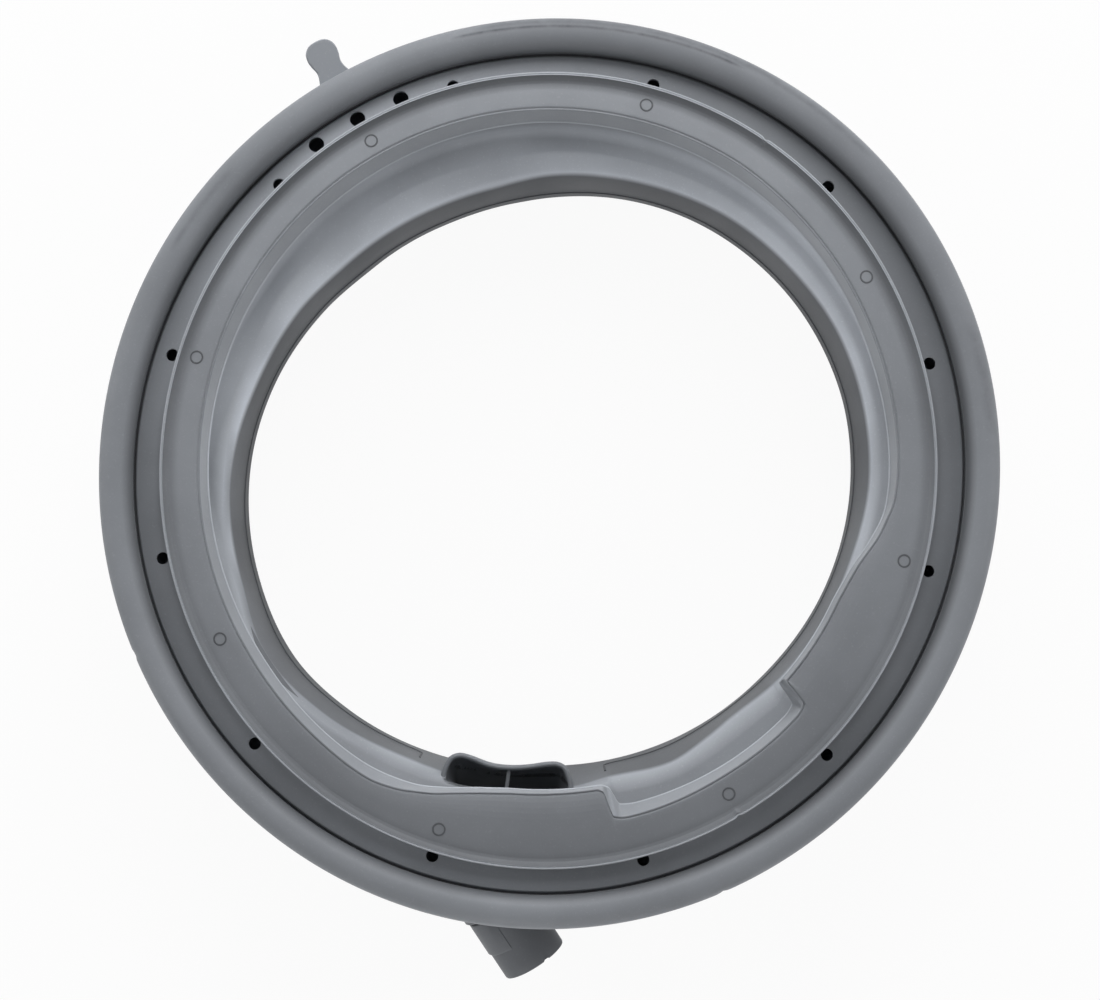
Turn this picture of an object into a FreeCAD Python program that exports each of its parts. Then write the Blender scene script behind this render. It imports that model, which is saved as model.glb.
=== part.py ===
import FreeCAD, Part
import math
import os

import Sketcher

# Washing machine door gasket, moulded in one piece from rubber.
# It lies on the rim of its rear collar: the axis is Z, the front face looks up, and the
# origin is on the axis at the level of that rim. Places round the ring are angles in
# degrees, clockwise from +Y as the front face shows them.

Vector = FreeCAD.Vector
Rotation = FreeCAD.Rotation
Placement = FreeCAD.Placement

# Driving dimensions, in millimetres and degrees.
SIZES = {
    # Whole ring.
    "overall_depth": 92.0,
    "wall": 2.6,
    # Fat front bead, with the slot behind it for the edge of the front panel.
    "bead_radius": 200.0,
    "bead_width": 15.3,
    "flap_drop": 18.0,
    "flap_thickness": 3.4,
    "panel_slot_depth": 8.5,
    # Channel between the bead and the lip, where the wire spring lies.
    "channel_depth": 11.0,
    "channel_rise": 4.0,
    "neck_inset": 2.9,
    # Front lip: free edge, gutter, face and the skirt that leans inward behind it.
    "lip_wall": 2.4,
    "lip_inset": 25.7,
    "lip_setback": 3.8,
    "gutter_width": 3.9,
    "gutter_setback": 6.0,
    "face_width": 17.5,
    "face_setback": 2.0,
    "face_edge_cut": 1.8,
    "skirt_lean": 3.9,
    "skirt_drop": 14.3,
    # Folded wall from the bead back to the crest and the rear lip, by its front face.
    "bellows_inset": 12.2,
    "fold_drop": 43.6,
    "fold_cut": 4.6,
    "fold_draft": 0.8,
    "hump_drop": 23.6,
    "hump_width": 12.2,
    "hump_rise": 3.9,
    "hump_step": 4.9,
    "valley_drop": 40.4,
    "crest_drop": 44.8,
    "crest_step": 13.3,
    "crest_cut": 2.6,
    "rear_lip_drop": 66.4,
    "rear_lip_step": 7.8,
    # Rear collar that is clamped on the rim of the tub.
    "collar_inset": 44.5,
    "collar_bore_depth": 20.0,
    "collar_wall": 4.8,
    "collar_throat": 4.0,
    "collar_rib_height": 4.2,
    "collar_foot": 5.5,
    "clamp_band_width": 10.0,
    # Holes in the floor of the channel.
    "drain_hole_diameter": 5.8,
    "drain_hole_offset": 3.2,
    "drain_hole_start": 14.8,
    "drain_hole_number": 12,
    "vent_hole_diameter": 7.3,
    "vent_hole_offset": 4.3,
    "vent_hole_middle": 331.5,
    "vent_hole_step": 6.85,
    # Wide ledges of the face, either side of a notch.
    "right_ledge_reach": 17.2,
    "right_ledge_start": 93.0,
    "right_ledge_full": 110.5,
    "right_ledge_end": 131.6,
    "bottom_ledge_reach": 14.4,
    "bottom_ledge_start": 213.0,
    "bottom_ledge_full": 188.0,
    "bottom_ledge_end": 171.0,
    "ledge_drop": 13.0,
    "ledge_draft": 2.6,
    "ledge_end_draft": 1.6,
    "ledge_end_lean": 1.4,
    "right_ledge_blend": 60.0,
    "ledge_corner": 3.4,
    # Hose spigot and the duct that carries its water to the mouth.
    "spigot_diameter": 31.0,
    "spigot_lean": 33.0,
    "spigot_fall": 10.0,
    "spigot_reach": 36.2,
    "spigot_root": 3.0,
    "shoulder_reach": 5.0,
    "shoulder_step": 2.0,
    "elbow_inset": 7.7,
    "duct_wall": 2.5,
    "duct_run": 3.0,
    "duct_end_width": 29.0,
    "duct_corner": 7.5,
    "duct_bend": 12.0,
    "duct_flat_width": 50.0,
    "duct_flat_height": 17.0,
    "mouth_width": 56.0,
    "mouth_height": 19.0,
    "mouth_overhang": 6.6,
    "mouth_angle": 187.9,
    "mouth_setback": 43.5,
    "mouth_straight": 6.0,
    "divider_thickness": 1.7,
    "divider_depth": 12.0,
    # Pull tab on the outside of the bead.
    "tab_angle": 331.5,
    "tab_thickness": 2.5,
    "tab_head_diameter": 13.8,
    "tab_neck_width": 11.6,
    "tab_root_width": 17.0,
    "tab_neck_reach": 5.4,
    "tab_reach": 17.4,
    "tab_root_depth": 2.0,
}

# Flat bands that make up the round nose of the bead, over half a turn.
NOSE_BANDS = 6
# Straight steps that make up the bend of the duct, over a right angle.
BEND_STEPS = 3
FULL_TURN = 360.0
HALF_TURN = 180.0
RIGHT_ANGLE = 90.0

# Where a channel hole's cut starts above the floor and how far it runs, in walls.
HOLE_CUT_START = 0.8
HOLE_CUT_REACH = 2.6
# How far a ledge's outline runs on past its notch, in leans of the ledge's end.
NOTCH_RUN_OUT = 2.5
# How far the hollow under a ledge stays behind the start of the ledge, in degrees.
BLEND_WALL = 1.5
# How far the duct's bore starts in front of the mouth, in millimetres.
MOUTH_OVERRUN = 1.0
# Where the pull tab's head widens, in head diameters from the tip.
TAB_SHOULDER = 0.6
# Rounding of the tab's tip, in head radii: a little less than a half circle.
TAB_TIP_ROUNDING = 0.97


class Size:
    """A size as a number, with the expression that binds a sketch or feature to it."""

    def __init__(self, value, text):
        self.value = float(value)
        self.text = text

    def __add__(self, other):
        other = as_size(other)
        return Size(self.value + other.value, f"({self.text} + {other.text})")

    def __sub__(self, other):
        other = as_size(other)
        return Size(self.value - other.value, f"({self.text} - {other.text})")

    def __mul__(self, other):
        other = as_size(other)
        return Size(self.value * other.value, f"({self.text} * {other.text})")

    def __truediv__(self, other):
        other = as_size(other)
        return Size(self.value / other.value, f"({self.text} / {other.text})")

    def __neg__(self):
        return Size(-self.value, f"(0 - {self.text})")


def as_size(number):
    if isinstance(number, Size):
        return number
    return Size(number, repr(float(number)))


def size(name):
    return Size(SIZES[name], f"Sizes.{name}")


def turned(radius, angle):
    """The x and y of a point at a radius and a clockwise angle from +Y."""
    radians = math.radians(angle.value)
    x = Size(radius.value * math.sin(radians), f"({radius.text} * sin({angle.text}))")
    y = Size(radius.value * math.cos(radians), f"({radius.text} * cos({angle.text}))")
    return x, y


doc = FreeCAD.newDocument("DoorGasket")
sheet = doc.addObject("Spreadsheet::Sheet", "Sizes")
for row, (name, value) in enumerate(SIZES.items(), start=1):
    sheet.set(f"A{row}", name)
    sheet.set(f"B{row}", str(value))
    sheet.setAlias(f"B{row}", name)
doc.recompute()

body = doc.addObject("PartDesign::Body", "DoorGasket")
body.Label = "door_gasket"

# Radii that follow from the bead, from the lip's free edge and from the collar's bore.
bead_radius = size("bead_radius")
bellows_radius = bead_radius - size("bellows_inset")
lip_radius = bead_radius - size("lip_inset")
gutter_radius = lip_radius - size("gutter_width")
neck_radius = gutter_radius - size("neck_inset")
face_edge_radius = lip_radius - size("face_width")
collar_bore_radius = bead_radius - size("collar_inset")
crest_radius = collar_bore_radius - size("crest_step")
rear_lip_radius = crest_radius - size("rear_lip_step")
mouth_inner_radius = rear_lip_radius - size("mouth_overhang")
elbow_radius = bead_radius - size("elbow_inset")

depth = size("overall_depth")
wall = size("wall")
lip_wall = size("lip_wall")
flap_end = depth - size("flap_drop")
slot_top = flap_end + size("panel_slot_depth")


def plane(role):
    return next(item for item in body.Origin.OriginFeatures if item.Role == role)


def new_sketch(name, role, offset=None):
    sketch = body.newObject("Sketcher::SketchObject", name)
    sketch.AttachmentSupport = [(plane(role), "")]
    sketch.MapMode = "FlatFace"
    if offset is not None:
        sketch.AttachmentOffset = offset
    doc.recompute()
    return sketch


def bind(sketch, name, constraint, expression):
    index = sketch.addConstraint(constraint)
    sketch.renameConstraint(index, name)
    sketch.setExpression(f"Constraints.{name}", expression)


def place_vertex(sketch, name, edge, end, x, y):
    bind(sketch, f"{name}_x", Sketcher.Constraint("DistanceX", -1, 1, edge, end, x.value), x.text)
    bind(sketch, f"{name}_y", Sketcher.Constraint("DistanceY", -1, 1, edge, end, y.value), y.text)


def point(corner):
    return Vector(corner[1].value, corner[2].value, 0)


def curved_edge(start, finish, radius):
    """An arc between two points, bulging left of the way for a positive radius."""
    chord = finish - start
    side = Vector(-chord.y, chord.x, 0).normalize() * math.copysign(1.0, radius)
    half = chord.Length / 2
    centre = start + chord * 0.5 - side * math.sqrt(radius ** 2 - half ** 2)
    first, last = (finish, start) if radius > 0 else (start, finish)
    low = math.atan2(first.y - centre.y, first.x - centre.x)
    high = math.atan2(last.y - centre.y, last.x - centre.x)
    if high < low:
        high += 2 * math.pi
    circle = Part.Circle(centre, Vector(0, 0, 1), abs(radius))
    return Part.ArcOfCircle(circle, low, high)


def round_corners(sketch, corners, pairs):
    for before, after, corner in pairs:
        rounding = corner[3]
        if rounding is None:
            continue
        vertex = point(corner)
        first = sketch.Geometry[before]
        second = sketch.Geometry[after]
        near_first = vertex + (first.value(middle_of(first)) - vertex) * 0.2
        near_second = vertex + (second.value(middle_of(second)) - vertex) * 0.2
        sketch.fillet(before, after, near_first, near_second, rounding.value, True, True)
        arc = next(
            index
            for index in range(sketch.GeometryCount - 1, -1, -1)
            if isinstance(sketch.Geometry[index], Part.ArcOfCircle)
        )
        radius = Sketcher.Constraint("Radius", arc, sketch.Geometry[arc].Radius)
        bind(sketch, f"{corner[0]}_rounding", radius, rounding.text)
    doc.recompute()
    if sketch.solve() != 0:
        raise RuntimeError(f"{sketch.Name} is not solved")


def middle_of(curve):
    return (curve.FirstParameter + curve.LastParameter) / 2


def open_path(name, corners):
    """A path of straight runs and rounded corners in the half plane of the section."""
    sketch = new_sketch(name, "XZ_Plane")
    for start, finish in zip(corners, corners[1:]):
        sketch.addGeometry(Part.LineSegment(point(start), point(finish)), False)
    for edge in range(len(corners) - 2):
        sketch.addConstraint(Sketcher.Constraint("Coincident", edge, 2, edge + 1, 1))
    for edge, corner in enumerate(corners[:-1]):
        place_vertex(sketch, corner[0], edge, 1, corner[1], corner[2])
    last = corners[-1]
    place_vertex(sketch, last[0], len(corners) - 2, 2, last[1], last[2])
    doc.recompute()
    inner = range(1, len(corners) - 1)
    round_corners(sketch, corners, [(edge - 1, edge, corners[edge]) for edge in inner])
    return sketch


def closed_outline(name, role, corners, curves=None, offset=None):
    """A closed outline; curves gives the signed radius of the edges that aren't straight."""
    curves = curves or {}
    sketch = new_sketch(name, role, offset)
    count = len(corners)
    for edge, corner in enumerate(corners):
        start = point(corner)
        finish = point(corners[(edge + 1) % count])
        if edge in curves:
            sketch.addGeometry(curved_edge(start, finish, curves[edge].value), False)
        else:
            sketch.addGeometry(Part.LineSegment(start, finish), False)
    ends = []
    for edge, corner in enumerate(corners):
        curve = sketch.Geometry[edge]
        flipped = curve.StartPoint.distanceToPoint(point(corner)) > 1e-6
        ends.append((2, 1) if flipped else (1, 2))
    for edge in range(count):
        following = (edge + 1) % count
        sketch.addConstraint(
            Sketcher.Constraint("Coincident", edge, ends[edge][1], following, ends[following][0])
        )
    for edge, corner in enumerate(corners):
        place_vertex(sketch, corner[0], edge, ends[edge][0], corner[1], corner[2])
    for edge, radius in curves.items():
        arc = Sketcher.Constraint("Radius", edge, abs(radius.value))
        bind(sketch, f"edge_{edge}_radius", arc, f"abs({radius.text})")
    doc.recompute()
    round_corners(
        sketch, corners, [((edge - 1) % count, edge, corners[edge]) for edge in range(count)]
    )
    return sketch


def skin_of(path, name, thickness):
    """The section of a wall of one thickness behind the path of its front face."""
    binder = body.newObject("PartDesign::SubShapeBinder", name)
    binder.Support = [(path, "")]
    binder.OffsetJoinType = "Intersection"
    binder.OffsetFill = True
    binder.OffsetOpenResult = True
    binder.MakeFace = True
    binder.setExpression("Offset", thickness.text)
    doc.recompute()
    return binder


def revolve(profile, name):
    turn = body.newObject("PartDesign::Revolution", name)
    turn.Profile = profile
    turn.ReferenceAxis = (plane("Z_Axis"), [""])
    turn.Angle = FULL_TURN
    body.Tip = turn
    doc.recompute()
    return turn


def check(step):
    """Stop at a feature that failed or left something other than one sound solid."""
    doc.recompute()
    shape = step.Shape
    if "Invalid" in step.State or "Error" in step.State or shape.isNull() or not shape.isValid():
        raise RuntimeError(f"{step.Name} failed: {step.State} {step.getStatusString()}")
    if len(shape.Solids) != 1:
        raise RuntimeError(f"{step.Name} leaves {len(shape.Solids)} solids")
    print(f"{step.Name}: {shape.Volume / 1000:.1f} cm3")
    return step


def cut_corner(name, before, corner, after, cut):
    """Two corners in place of one, each a cut's length along the runs that meet there."""
    points = []
    for label, other in ((f"{name}_in", before), (f"{name}_out", after)):
        run = math.hypot(
            other[0].value - corner[0].value, other[1].value - corner[1].value
        )
        share = cut / run
        x = corner[0] + (other[0] - corner[0]) * share
        y = corner[1] + (other[1] - corner[1]) * share
        points.append((label, x, y, None))
    return points


def build_bellows():
    """The folded wall, from the bead to the valley, the crest and the rear lip."""
    hump_inner_radius = collar_bore_radius + size("hump_step")
    hump_outer_radius = hump_inner_radius + size("hump_width")
    fold_height = depth - size("fold_drop")
    hump_height = depth - size("hump_drop")
    shoulder = hump_height - size("hump_rise")
    bead = (bellows_radius, slot_top + wall)
    fold_outer = (bellows_radius, fold_height)
    fold_inner = (hump_outer_radius + size("fold_draft"), fold_height)
    hump_outer = (hump_outer_radius, shoulder)
    hump_inner = (hump_inner_radius, shoulder)
    valley = (collar_bore_radius, depth - size("valley_drop"))
    crest = (crest_radius, depth - size("crest_drop"))
    rear_lip = (rear_lip_radius, depth - size("rear_lip_drop"))
    fold = size("fold_cut")
    corners = [
        ("bead", *bead, None),
        *cut_corner("fold_outer", bead, fold_outer, fold_inner, fold),
        *cut_corner("fold_inner", fold_outer, fold_inner, hump_outer, fold),
        ("hump_outer", *hump_outer, None),
        ("hump_top", (hump_outer_radius + hump_inner_radius) / 2, hump_height, None),
        ("hump_inner", *hump_inner, None),
        ("valley", *valley, None),
        *cut_corner("crest", valley, crest, rear_lip, size("crest_cut")),
        ("rear_lip", *rear_lip, None),
    ]
    path = open_path("BellowsPath", corners)
    return check(revolve(skin_of(path, "BellowsSection", wall), "Bellows"))


def build_bead():
    """The solid bead: round nose, flap, and the slot between flap and folded wall."""
    half = size("bead_width") / 2
    inside = bead_radius - size("bead_width")
    slot_outer = bead_radius - size("flap_thickness")
    slot_inner = bellows_radius + wall / 2
    root = depth - size("channel_depth") - wall / 2
    nose = []
    for band in range(NOSE_BANDS + 1):
        angle = as_size(HALF_TURN * (band / NOSE_BANDS - 0.5))
        across, along = turned(half, angle)
        nose.append((f"nose_{band}", bead_radius - half + across, depth - half + along, None))
    corners = [
        ("crease", inside, root, None),
        *nose,
        ("flap_outer", bead_radius, flap_end, None),
        ("flap_inner", slot_outer, flap_end, None),
        ("slot_outer", slot_outer, slot_top, None),
        ("slot_inner", slot_inner, slot_top, None),
        ("root", slot_inner, root, None),
    ]
    profile = closed_outline("BeadSection", "XZ_Plane", corners)
    return check(revolve(profile, "Bead"))


def face_height(radius):
    """The front of the lip's face at a radius."""
    run = gutter_radius - face_edge_radius
    rise = size("gutter_setback") - size("face_setback")
    return depth - size("gutter_setback") + (gutter_radius - radius) * rise / run


def channel_height(radius):
    """The front of the channel floor at a radius."""
    run = bellows_radius - neck_radius
    start = depth - size("channel_depth")
    return start + (bellows_radius - radius) * size("channel_rise") / run


def build_channel():
    """The floor of the channel, from the bead to the neck where it carries the lip."""
    root = bellows_radius + wall / 2
    front = [
        ("root", root, channel_height(root), None),
        ("neck", neck_radius, channel_height(neck_radius), None),
    ]
    back = [(f"{name}_back", x, y - wall, None) for name, x, y, _ in reversed(front)]
    profile = closed_outline("ChannelSection", "XZ_Plane", front + back)
    return check(revolve(profile, "Channel"))


def build_lip():
    """The lip: free edge, gutter, broad face, and the skirt behind the face."""
    gutter = (gutter_radius, depth - size("gutter_setback"))
    face_edge = (face_edge_radius, depth - size("face_setback"))
    skirt_end = (
        face_edge_radius - size("skirt_lean"), face_edge[1] - size("skirt_drop")
    )
    corners = [
        ("free_edge", lip_radius, depth - size("lip_setback"), None),
        ("gutter", *gutter, None),
        *cut_corner("face_edge", gutter, face_edge, skirt_end, size("face_edge_cut")),
        ("skirt_end", *skirt_end, None),
    ]
    path = open_path("LipPath", corners)
    return check(revolve(skin_of(path, "LipSection", lip_wall), "Lip"))


def build_collar():
    """The rear collar: bore for the tub's rim, groove for the clamp band, and throat."""
    bore = collar_bore_radius
    outer = bore + size("collar_wall")
    rib = outer + size("collar_rib_height")
    throat_inner = bore - size("collar_throat")
    groove_start = size("collar_foot")
    groove_end = groove_start + size("clamp_band_width")
    shoulder = size("collar_bore_depth")
    flank = size("collar_rib_height") / 4
    valley = depth - size("valley_drop")
    crest = depth - size("crest_drop")
    corners = [
        ("foot_inner", bore, as_size(0), None),
        ("foot_outer", rib, as_size(0), None),
        ("foot_rib", rib, groove_start - flank, None),
        ("groove_low", outer, groove_start, None),
        ("groove_high", outer, groove_end, None),
        ("barb", rib, groove_end + flank, None),
        ("throat_low", bore, shoulder + size("collar_wall") * 2, None),
        ("throat_high", bore, valley - wall / 4, None),
        ("throat_top", throat_inner, (valley + crest) / 2 - wall / 2, None),
        ("throat_inner", throat_inner, shoulder + size("collar_throat"), None),
        ("shoulder_inner", bore, shoulder, None),
    ]
    profile = closed_outline("CollarSection", "XZ_Plane", corners)
    return check(revolve(profile, "Collar"))


def placed(angle, radius, height, axes=None):
    """A placement at a clockwise angle, radius and height, its x axis turned outward."""
    turn = Placement(Vector(0, 0, 0), Rotation(Vector(0, 0, 1), RIGHT_ANGLE - angle))
    move = Placement(Vector(radius, 0, height), axes or Rotation())
    return turn.multiply(move)


def level(height):
    return Placement(Vector(0, 0, height.value), Rotation())


def add_circle(sketch, name, x, y, diameter):
    centre = Vector(x.value, y.value, 0)
    circle = sketch.addGeometry(Part.Circle(centre, Vector(0, 0, 1), diameter.value / 2), False)
    place_vertex(sketch, name, circle, 3, x, y)
    bind(
        sketch,
        f"{name}_diameter",
        Sketcher.Constraint("Diameter", circle, diameter.value),
        diameter.text,
    )


def pad(profile, name, length, backward=False):
    extrusion = body.newObject("PartDesign::Pad", name)
    extrusion.Profile = profile
    extrusion.setExpression("Length", length.text)
    extrusion.Reversed = backward
    body.Tip = extrusion
    return check(extrusion)


def pocket(profile, name, length):
    before = body.Shape.Volume
    cut = body.newObject("PartDesign::Pocket", name)
    cut.Profile = profile
    cut.setExpression("Length", length.text)
    body.Tip = cut
    check(cut)
    if cut.Shape.Volume > before - 1:
        raise RuntimeError(f"{name} cuts nothing")
    return cut


def polar_pattern(feature, name, number):
    pattern = body.newObject("PartDesign::PolarPattern", name)
    pattern.Originals = [feature]
    pattern.Axis = (plane("Z_Axis"), [""])
    pattern.Angle = FULL_TURN
    pattern.setExpression("Occurrences", number.text)
    body.Tip = pattern
    return check(pattern)


def build_channel_holes():
    """Drain holes all round the channel floor, and three wider ones side by side."""
    reach = wall * HOLE_CUT_REACH
    above = wall * HOLE_CUT_START
    circle = lip_radius + size("drain_hole_offset")
    drain = new_sketch("DrainHoleSketch", "XY_Plane", level(channel_height(circle) + above))
    add_circle(drain, "hole", *turned(circle, size("drain_hole_start")), size("drain_hole_diameter"))
    first = pocket(drain, "DrainHole", reach)
    polar_pattern(first, "DrainHoles", size("drain_hole_number"))

    circle = lip_radius + size("vent_hole_offset")
    vents = new_sketch("VentHoleSketch", "XY_Plane", level(channel_height(circle) + above))
    for index in (-1, 0, 1):
        angle = size("vent_hole_middle") + size("vent_hole_step") * index
        name = f"vent_{index + 1}"
        add_circle(vents, name, *turned(circle, angle), size("vent_hole_diameter"))
    pocket(vents, "VentHoles", reach)


def ledge_outline(name, side, height, inset, outer, lower):
    """The plan of a ledge at a height: blend, inner arc, steep end and outer arc."""
    inner = face_edge_radius - size(f"{side}_ledge_reach") + inset
    start = size(f"{side}_ledge_start")
    full = size(f"{side}_ledge_full")
    end = size(f"{side}_ledge_end")
    way = 1 if side == "right" else -1
    edge = face_edge_radius + lip_wall / 4
    if lower:
        inner = inner - size("ledge_draft")
        edge = edge - size("ledge_draft")
        end = end + size("ledge_end_draft") * way
    lean = size("ledge_end_lean") * way
    run_out = lean * NOTCH_RUN_OUT
    corner = size("ledge_corner")
    blend = size("right_ledge_blend") if side == "right" else None
    points = [
        ("start_outer", *turned(outer, start), None),
        ("start", *turned(edge, start), None),
        ("full", *turned(inner, full), blend),
        ("end", *turned(inner, end), corner),
        ("notch", *turned(edge, end + lean), corner),
        ("notch_side", *turned(edge, end + run_out), None),
        ("notch_outer", *turned(outer, end + run_out), None),
    ]
    curves = {2: inner * way, 6: -outer * way}
    return closed_outline(name, "XY_Plane", points, curves, level(height))


def hollow_outline(name, side, height, outer, lower):
    """The plan of the hollow under a ledge, one wall inside its skirt."""
    inner = face_edge_radius - size(f"{side}_ledge_reach") + lip_wall
    start = size(f"{side}_ledge_start")
    way = 1 if side == "right" else -1
    blend_wall = as_size(BLEND_WALL) * way
    end_wall = size("ledge_end_draft") * way
    end = size(f"{side}_ledge_end") - end_wall
    blend = size("right_ledge_blend") if side == "right" else None
    if lower:
        inner = inner - size("ledge_draft")
        end = end + end_wall
    points = [
        ("start", *turned(outer, start + blend_wall), None),
        ("full", *turned(inner, size(f"{side}_ledge_full")), blend),
        ("end", *turned(inner, end), size("ledge_corner") / 2),
        ("notch", *turned(outer, end + size("ledge_end_lean") * way), None),
    ]
    curves = {1: inner * way, 3: -outer * way}
    return closed_outline(name, "XY_Plane", points, curves, level(height))


def loft(kind, name, sections):
    feature = body.newObject(f"PartDesign::{kind}Loft", name)
    feature.Profile = sections[0]
    feature.Sections = sections[1:]
    feature.Ruled = True
    body.Tip = feature
    return check(feature)


def build_ledges():
    """The face's two wide ledges, each a tapered form hollowed from behind."""
    top = depth - size("face_setback") - lip_wall / 5
    bottom = top - size("ledge_drop")
    peak = face_edge_radius + lip_wall
    for side in ("right", "bottom"):
        title = side.capitalize()
        upper = ledge_outline(f"{title}LedgeTop", side, top, as_size(0), peak, False)
        lower = ledge_outline(
            f"{title}LedgeSkirt", side, bottom, as_size(0), peak - size("ledge_draft"), True
        )
        loft("Additive", f"{title}Ledge", [upper, lower])
        roof = top - lip_wall
        ceiling = hollow_outline(f"{title}HollowTop", side, roof, peak + lip_wall / 8, False)
        opening = hollow_outline(
            f"{title}HollowMouth", side, bottom - lip_wall, peak - size("ledge_draft") / 2, True
        )
        loft("Subtractive", f"{title}Hollow", [ceiling, opening])


def rounded_rectangle(name, placement, width, height, corner):
    half_width = width / 2
    half_height = height / 2
    corners = [
        ("low_left", -half_width, -half_height, corner),
        ("low_right", half_width, -half_height, corner),
        ("high_right", half_width, half_height, corner),
        ("high_left", -half_width, half_height, corner),
    ]
    return closed_outline(name, "XY_Plane", corners, None, placement)


def duct_frame(radius, height, bend):
    """A placement across the duct: bend is 0 where it runs down and 90 where it runs out."""
    angle = math.radians(bend)
    upward = Vector(math.cos(angle), 0, math.sin(angle))
    onward = Vector(math.sin(angle), 0, -math.cos(angle))
    facing = Rotation(Vector(0, 1, 0), upward, onward, "XYZ")
    return placed(SIZES["mouth_angle"], radius, height, facing)


def duct_level():
    return size("mouth_straight") + size("mouth_setback") + size("duct_bend")


def spigot_frame(distance):
    """A placement across the spigot, at a distance out from the elbow."""
    lean = math.radians(SIZES["spigot_lean"])
    fall = math.radians(SIZES["spigot_fall"])
    outward = Vector(
        math.sin(lean) * math.cos(fall), -math.cos(lean) * math.cos(fall), -math.sin(fall)
    )
    across = Vector(0, 0, 1).cross(outward).normalize()
    upward = outward.cross(across)
    level_z = (depth - duct_level()).value
    elbow = placed(SIZES["mouth_angle"], elbow_radius.value, level_z).Base
    return Placement(elbow + outward * distance, Rotation(across, upward, outward, "XYZ"))


def duct_sections(name, inset, overrun):
    """Sections from the mouth, round the bend and outward into the root of the spigot."""
    mouth_z = SIZES["overall_depth"] - SIZES["mouth_setback"]
    mouth_radius = mouth_inner_radius.value + SIZES["mouth_height"] / 2
    low = mouth_z - SIZES["mouth_straight"]
    bend = SIZES["duct_bend"]
    mouth = (size("mouth_width") - inset * 2, size("mouth_height") - inset * 2)
    flat = (size("duct_flat_width") - inset * 2, size("duct_flat_height") - inset * 2)
    stations = [
        ("Mouth", duct_frame(mouth_radius, mouth_z + overrun, 0), *mouth),
        ("MouthRoot", duct_frame(mouth_radius, low, 0), *mouth),
    ]
    for step in range(1, BEND_STEPS + 1):
        angle = RIGHT_ANGLE * step / BEND_STEPS
        turn = math.radians(angle)
        radius = mouth_radius + bend * (1 - math.cos(turn))
        frame = duct_frame(radius, low - bend * math.sin(turn), angle)
        width = mouth[0] + (flat[0] - mouth[0]) * step / BEND_STEPS
        height = mouth[1] + (flat[1] - mouth[1]) * step / BEND_STEPS
        stations.append((f"Bend{step}", frame, width, height))
    # The last section lies square to the spigot, inside its shoulder.
    end = spigot_frame((size("duct_run") - inset).value)
    stations.append(("End", end, size("duct_end_width") - inset * 2, flat[1]))
    return [
        rounded_rectangle(f"{name}{title}", frame, width, height, size("duct_corner") - inset)
        for title, frame, width, height in stations
    ]


def build_duct():
    """The hose spigot with its shoulder, its duct through the collar, and the divided mouth."""
    diameter = size("spigot_diameter")
    step = size("shoulder_step")
    bore = diameter - size("duct_wall") * 2
    centre = as_size(0)
    length = size("spigot_reach") + size("spigot_root")
    loft("Additive", "Duct", duct_sections("Duct", as_size(0), 0.0))
    root = new_sketch("ShoulderSketch", "XY_Plane", spigot_frame(-SIZES["spigot_root"]))
    add_circle(root, "outside", centre, centre, diameter + step * 2)
    pad(root, "Shoulder", size("shoulder_reach") + size("spigot_root"))
    root = new_sketch("SpigotSketch", "XY_Plane", spigot_frame(-SIZES["spigot_root"]))
    add_circle(root, "outside", centre, centre, diameter)
    pad(root, "Spigot", length)
    end = new_sketch("SpigotBoreSketch", "XY_Plane", spigot_frame(SIZES["spigot_reach"]))
    add_circle(end, "bore", centre, centre, bore)
    pocket(end, "SpigotBore", length - size("duct_wall"))
    loft("Subtractive", "DuctBore", duct_sections("DuctBore", size("duct_wall"), MOUTH_OVERRUN))

    mouth_z = depth - size("mouth_setback")
    turn = Placement(Vector(0, 0, mouth_z.value), Rotation(Vector(0, 0, 1), -SIZES["mouth_angle"]))
    half = size("divider_thickness") / 2
    inner = mouth_inner_radius + size("duct_wall") / 2
    outer = mouth_inner_radius + size("mouth_height") - size("duct_wall") / 2
    corners = [
        ("inner_left", -half, inner, None),
        ("inner_right", half, inner, None),
        ("outer_right", half, outer, None),
        ("outer_left", -half, outer, None),
    ]
    plate = closed_outline("DividerSketch", "XY_Plane", corners, None, turn)
    pad(plate, "Divider", size("divider_depth"), backward=True)


def build_tab():
    """The flat pull tab on the flap of the bead."""
    low = depth - size("flap_drop") + wall / 2
    turn = Placement(Vector(0, 0, low.value), Rotation(Vector(0, 0, 1), -SIZES["tab_angle"]))
    start = bead_radius - size("tab_root_depth")
    head = size("tab_head_diameter") / 2
    neck = bead_radius + size("tab_neck_reach")
    tip = bead_radius + size("tab_reach")
    half = [
        ("root", size("tab_root_width") / 2, start, None),
        ("neck", size("tab_neck_width") / 2, neck, head),
        ("shoulder", head, tip - size("tab_head_diameter") * TAB_SHOULDER, head / 2),
        ("tip", head, tip, head * TAB_TIP_ROUNDING),
    ]
    right = [(f"{name}_right", x, y, rounding) for name, x, y, rounding in half]
    left = [(f"{name}_left", -x, y, rounding) for name, x, y, rounding in reversed(half)]
    outline = closed_outline("TabSketch", "XY_Plane", right + left, None, turn)
    pad(outline, "Tab", size("tab_thickness"))


build_bellows()
build_bead()
build_channel()
build_lip()
build_collar()
build_ledges()
build_channel_holes()
build_duct()
build_tab()
doc.recompute()
for item in doc.Objects:
    if "Invalid" in item.State or "Error" in item.State:
        raise RuntimeError(f"{item.Name} did not build: {item.State}")
if body.Shape.isNull() or not body.Shape.isValid():
    raise RuntimeError("The gasket's shape is not valid")
os.makedirs("parts", exist_ok=True)
body.Shape.exportStep("parts/door_gasket.step")
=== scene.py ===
import logging
import math
from dataclasses import dataclass, field
from enum import Enum
from typing import Callable, Sequence

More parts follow.
